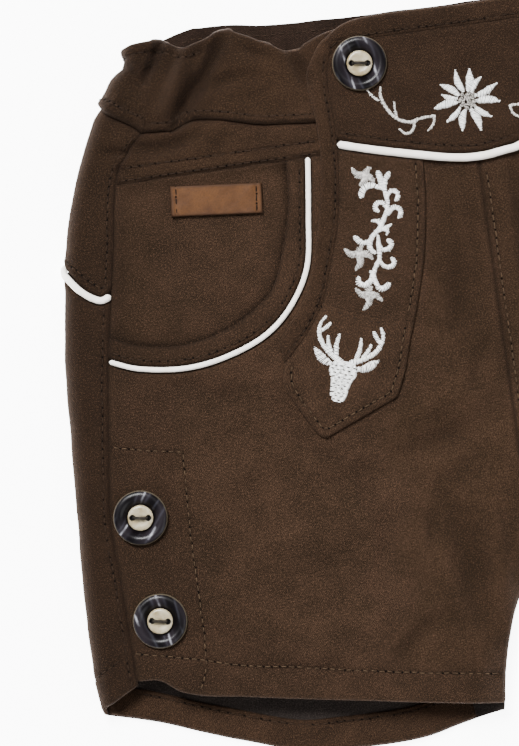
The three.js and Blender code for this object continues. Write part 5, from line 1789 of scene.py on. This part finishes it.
# points along a scroll from the stem outwards, and its widths
VINE_STEMS = [
    ([(-33.3, -0.5), (-32.7, -4.5), (-31.8, -8.4), (-31.7, -12), (-33, -15.2), (-35.2, -18.8),
      (-38.2, -21.6), (-39.5, -24.6), (-38, -27)], [1.9, 1.9, 1.6, 1.4, 1.3, 1.5, 1.6, 1.8, 1.4]),
    ([(-29.6, -1.5), (-31.2, -3.4), (-31.9, -6.4)], [2.0, 1.5, 1.2]),
    ([(-36.2, -21.4), (-36.5, -25.4), (-36.8, -28.8), (-38.5, -31.6), (-39.5, -34.6),
      (-38.7, -37.4)], [0.8, 1.6, 1.3, 1.3, 1.5, 1.5]),
]
VINE_SCROLLS = [
    ([(-33, -6.2), (-36.2, -4.7), (-38.9, -5.7), (-40.2, -8.3)], [1.2, 1.8, 2.2, 2.3, 2.4]),
    ([(-31.6, -9.4), (-30.2, -7.5), (-28.3, -7.9), (-27.9, -9.7), (-29.0, -10.7)],
     [0.9, 1.3, 1.5, 1.5, 1.9]),
    ([(-32.1, -13.3), (-33.1, -11.1), (-35.0, -10.8), (-36.0, -12.3), (-35.0, -13.6)],
     [0.9, 1.3, 1.5, 1.5, 1.9]),
    ([(-31.9, -15.0), (-30.3, -13.0), (-28.3, -13.4), (-27.7, -15.2), (-28.8, -16.4)],
     [0.9, 1.4, 1.6, 1.6, 2.0]),
    ([(-34.8, -18.8), (-35.1, -16.8), (-37.5, -16.3)], [1.6, 1.8, 0.6]),
    ([(-35.6, -19.7), (-33.4, -19.3), (-31.4, -18.3)], [1.3, 1.7, 0.7]),
    ([(-34.2, -19.3), (-32.8, -20.4), (-33.4, -21.4)], [1.2, 1.2, 0.6]),
    ([(-39.4, -22.8), (-41.9, -23), (-43.9, -20.6)], [1.2, 1.6, 1.8, 1.9]),
    ([(-36.6, -24.2), (-35.2, -26.1), (-33.0, -26.0), (-32.2, -24.3), (-33.4, -23.1)],
     [1, 1.4, 1.7, 1.6, 1.8]),
    ([(-36.8, -28.9), (-35.9, -31.3), (-33.5, -32.1), (-32.0, -30.7), (-32.9, -29.2)],
     [1, 1.4, 1.8, 1.6, 1.4]),
    ([(-39.9, -32.6), (-40.4, -35.5), (-42.7, -36.9), (-44.7, -35.7), (-44.2, -34.1)],
     [1.2, 1.5, 2.0, 2.0, 1.8]),
    ([(-39.1, -36.6), (-37.6, -38.9), (-34.5, -37.6)], [1.5, 1.9, 2.1, 2.2]),
]
# the middle of each lily, and the heading and length of its petals
LILIES = [((-37.6, -1.6), ((140, 5.2), (226, 3.4), (50, 3.2), (318, 3.2))),
          ((-43.0, -26.6), ((246, 5.2), (332, 4.4), (152, 5.2), (62, 2.8))),
          ((-41.8, -40.2), ((240, 5.2), (326, 4.6), (146, 4.8), (60, 2.8)))]


def vine(side):
    """A scrolling stem with curls to both sides; returns the white and the grey groups."""
    white, grey = [], []
    for number, (points, widths) in enumerate(VINE_STEMS + VINE_SCROLLS):
        lift = SILK if number < len(VINE_STEMS) else SILK - 0.06
        white.append(satin(curve(points), widths, lift, lean=0.25, seed=50 + number,
                           blunt_start=number < 2))
    for number, ((x, y), petals) in enumerate(LILIES):
        for heading, length in petals:
            way = math.radians(heading)
            tip = (x + length * math.cos(way), y + length * math.sin(way))
            short, aside = 0.55 * length, way + 0.3
            bent = (x + short * math.cos(aside), y + short * math.sin(aside))
            grey.append(satin(curve([(x, y), bent, tip]), [2.6, 3.0, 1.9, 1.0], SILK - 0.1,
                              lean=0.5, seed=80 + number))
    return sided_threads(side, white), sided_threads(side, grey)


# half of the stag's head, its own middle at (0, 0) and its crown up
STAG_MIDDLE = np.array([-53.3, -62.7])
STAG_LEAN = 20
STAG_HEAD = [(0, -11.4), (1.9, -10.9), (2.7, -9.0), (3.0, -6.4), (3.5, -4.0), (4.5, -1.8),
             (4.2, 0.5), (2.6, 2.1), (0, 1.7)]
STAG_ANTLER = [
    ([(1.6, 1.8), (5.4, 3.8), (8.9, 6.8), (10.4, 10.0), (10.4, 13.0), (9.2, 15.3)],
     [2.1, 1.7, 1.6, 1.5, 1.3, 0.9]),
    ([(3.2, 3.0), (3.9, 6.8), (3.6, 10.5)], [1.4, 1.5, 1.2, 0.8]),
    ([(5.3, 4.6), (6.6, 6.8), (7.2, 9.2)], [1.2, 1.3, 0.8]),
    ([(9.9, 10.3), (8.5, 11.8), (7.2, 13.5)], [1.2, 1.4, 1.0]),
]


def stag(side):
    """A stag's head seen from the front, antlers spread, in filled and satin stitch."""
    def local(points):
        return np.asarray(points, float) @ rotation(-STAG_LEAN) + STAG_MIDDLE

    half = np.array(STAG_HEAD)
    head = curve(np.vstack([half, mirrored(half)[::-1][1:]]))
    groups = [filled(local(head), SILK, -STAG_LEAN)]
    marks = [pricked(local(head), SILK, -STAG_LEAN)]
    for way in (-1, 1):
        ear = local(curve([(way * 4.2, 0.4), (way * 7.2, 1.4), (way * 10.8, 4.6)]))
        groups.append(satin(ear, [1.3, 2.6, 3.2, 2.4, 0.5], SILK - 0.05, lean=0.2, seed=90 + way))
        # dark strands across the ear: painted shadow in its grooves
        marks.append(satin(ear, [0.9, 2.4, 3.1, 1.8, 0.4], SILK + 0.03, pitch=1.5, lean=0.2,
                           seed=90 + way))
        for number, (points, widths) in enumerate(STAG_ANTLER):
            line = curve(np.array(points) * (way, 1))
            groups.append(satin(local(line), widths, SILK, lean=0.3, seed=93 + 4 * way + number))
    return sided_threads(side, groups), sided_threads(side, marks)


def all_embroidery():
    flower = edelweiss()
    embroidery("flap_flower", on_front, flower, "silk_white")
    middle = knots(np.array([-1.1, 18.4]), 2.9, 19, 5)
    embroidery("flap_flower_centre", on_front, middle, "silk_centre", radius=0.25)
    for side, tag in SIDES:
        embroidery(f"flap_twig_{tag}", on_front, twig(side), "silk_pale")
        white, grey = vine(side)
        embroidery(f"strap_vine_{tag}", on_front, white, "silk_white")
        embroidery(f"strap_lilies_{tag}", on_front, grey, "silk_grey")
        head, marks = stag(side)
        embroidery(f"patch_stag_{tag}", on_front, head, "silk_white")
        embroidery(f"patch_stag_marks_{tag}", on_front, marks, "silk_shadow")


for side, tag in SIDES:
    front_leg(side, tag)
    pocket(side, tag)
    hip_band(side, tag)
    waistband_front(side, tag)
    side_band(side, tag)
    strap(side, tag)
    strap_patch(side, tag)
    back_leg(side, tag)
    back_yoke(side, tag)
    back_hem(side, tag)
    pipings(side, tag)
waistband_back()
flap()
flap_piping()
topstitching("topstitching", "dark", "thread")
topstitching("topstitching_light", "light", "thread_light")
label()
topstitching("label_stitching", "dark", "label_thread")
buttons()
all_embroidery()


# ---------------------------------------------------------------- floor, light and camera
def add_floor():
    bpy.ops.object.select_all(action="DESELECT")
    bpy.ops.mesh.primitive_plane_add(size=6, location=(0, 0, 0))
    floor = bpy.context.object
    floor.name = "floor"
    f = Finish("floor", 0.9, 0.2)
    f.set(**{"Base Color": (0.9, 0.9, 0.9, 1), "Emission Color": (1, 1, 1, 1),
             "Emission Strength": 8.0})
    floor.data.materials.append(f.material)


def add_light(name, location, size, power):
    """A soft round lamp that faces the garment."""
    light = bpy.data.lights.new(name, "AREA")
    light.shape = "DISK"
    light.size = size
    light.energy = power
    lamp = bpy.data.objects.new(name, light)
    lamp.location = location
    lamp.rotation_euler = (-Vector(location)).to_track_quat("-Z", "Y").to_euler()
    bpy.context.scene.collection.objects.link(lamp)


CAMERA_OVER = (-0.0809, 0.0060)    # the point below the camera, in metres
CAMERA_TURN = -8


def add_camera():
    """Straight above the viewer's left half, turned as the garment was laid."""
    camera = bpy.data.cameras.new("camera")
    camera.sensor_fit = "VERTICAL"
    camera.sensor_height = 24
    height, cloth_level, seen = 1.5, 0.012, 0.2446
    camera.lens = 24 * (height - cloth_level) / seen
    eye = bpy.data.objects.new("camera", camera)
    eye.location = (*CAMERA_OVER, height)
    eye.rotation_euler = (0, 0, math.radians(CAMERA_TURN))
    bpy.context.scene.collection.objects.link(eye)
    bpy.context.scene.camera = eye


add_floor()
add_light("key", (-0.6, 1.45, 2.3), 1.1, 225)
add_light("fill", (0.8, -0.8, 1.2), 1.4, 15)
add_camera()
world = bpy.data.worlds.new("studio")
world.use_nodes = True
world.node_tree.nodes["Background"].inputs["Color"].default_value = (1, 1, 1, 1)
world.node_tree.nodes["Background"].inputs["Strength"].default_value = 0.6
bpy.context.scene.world = world
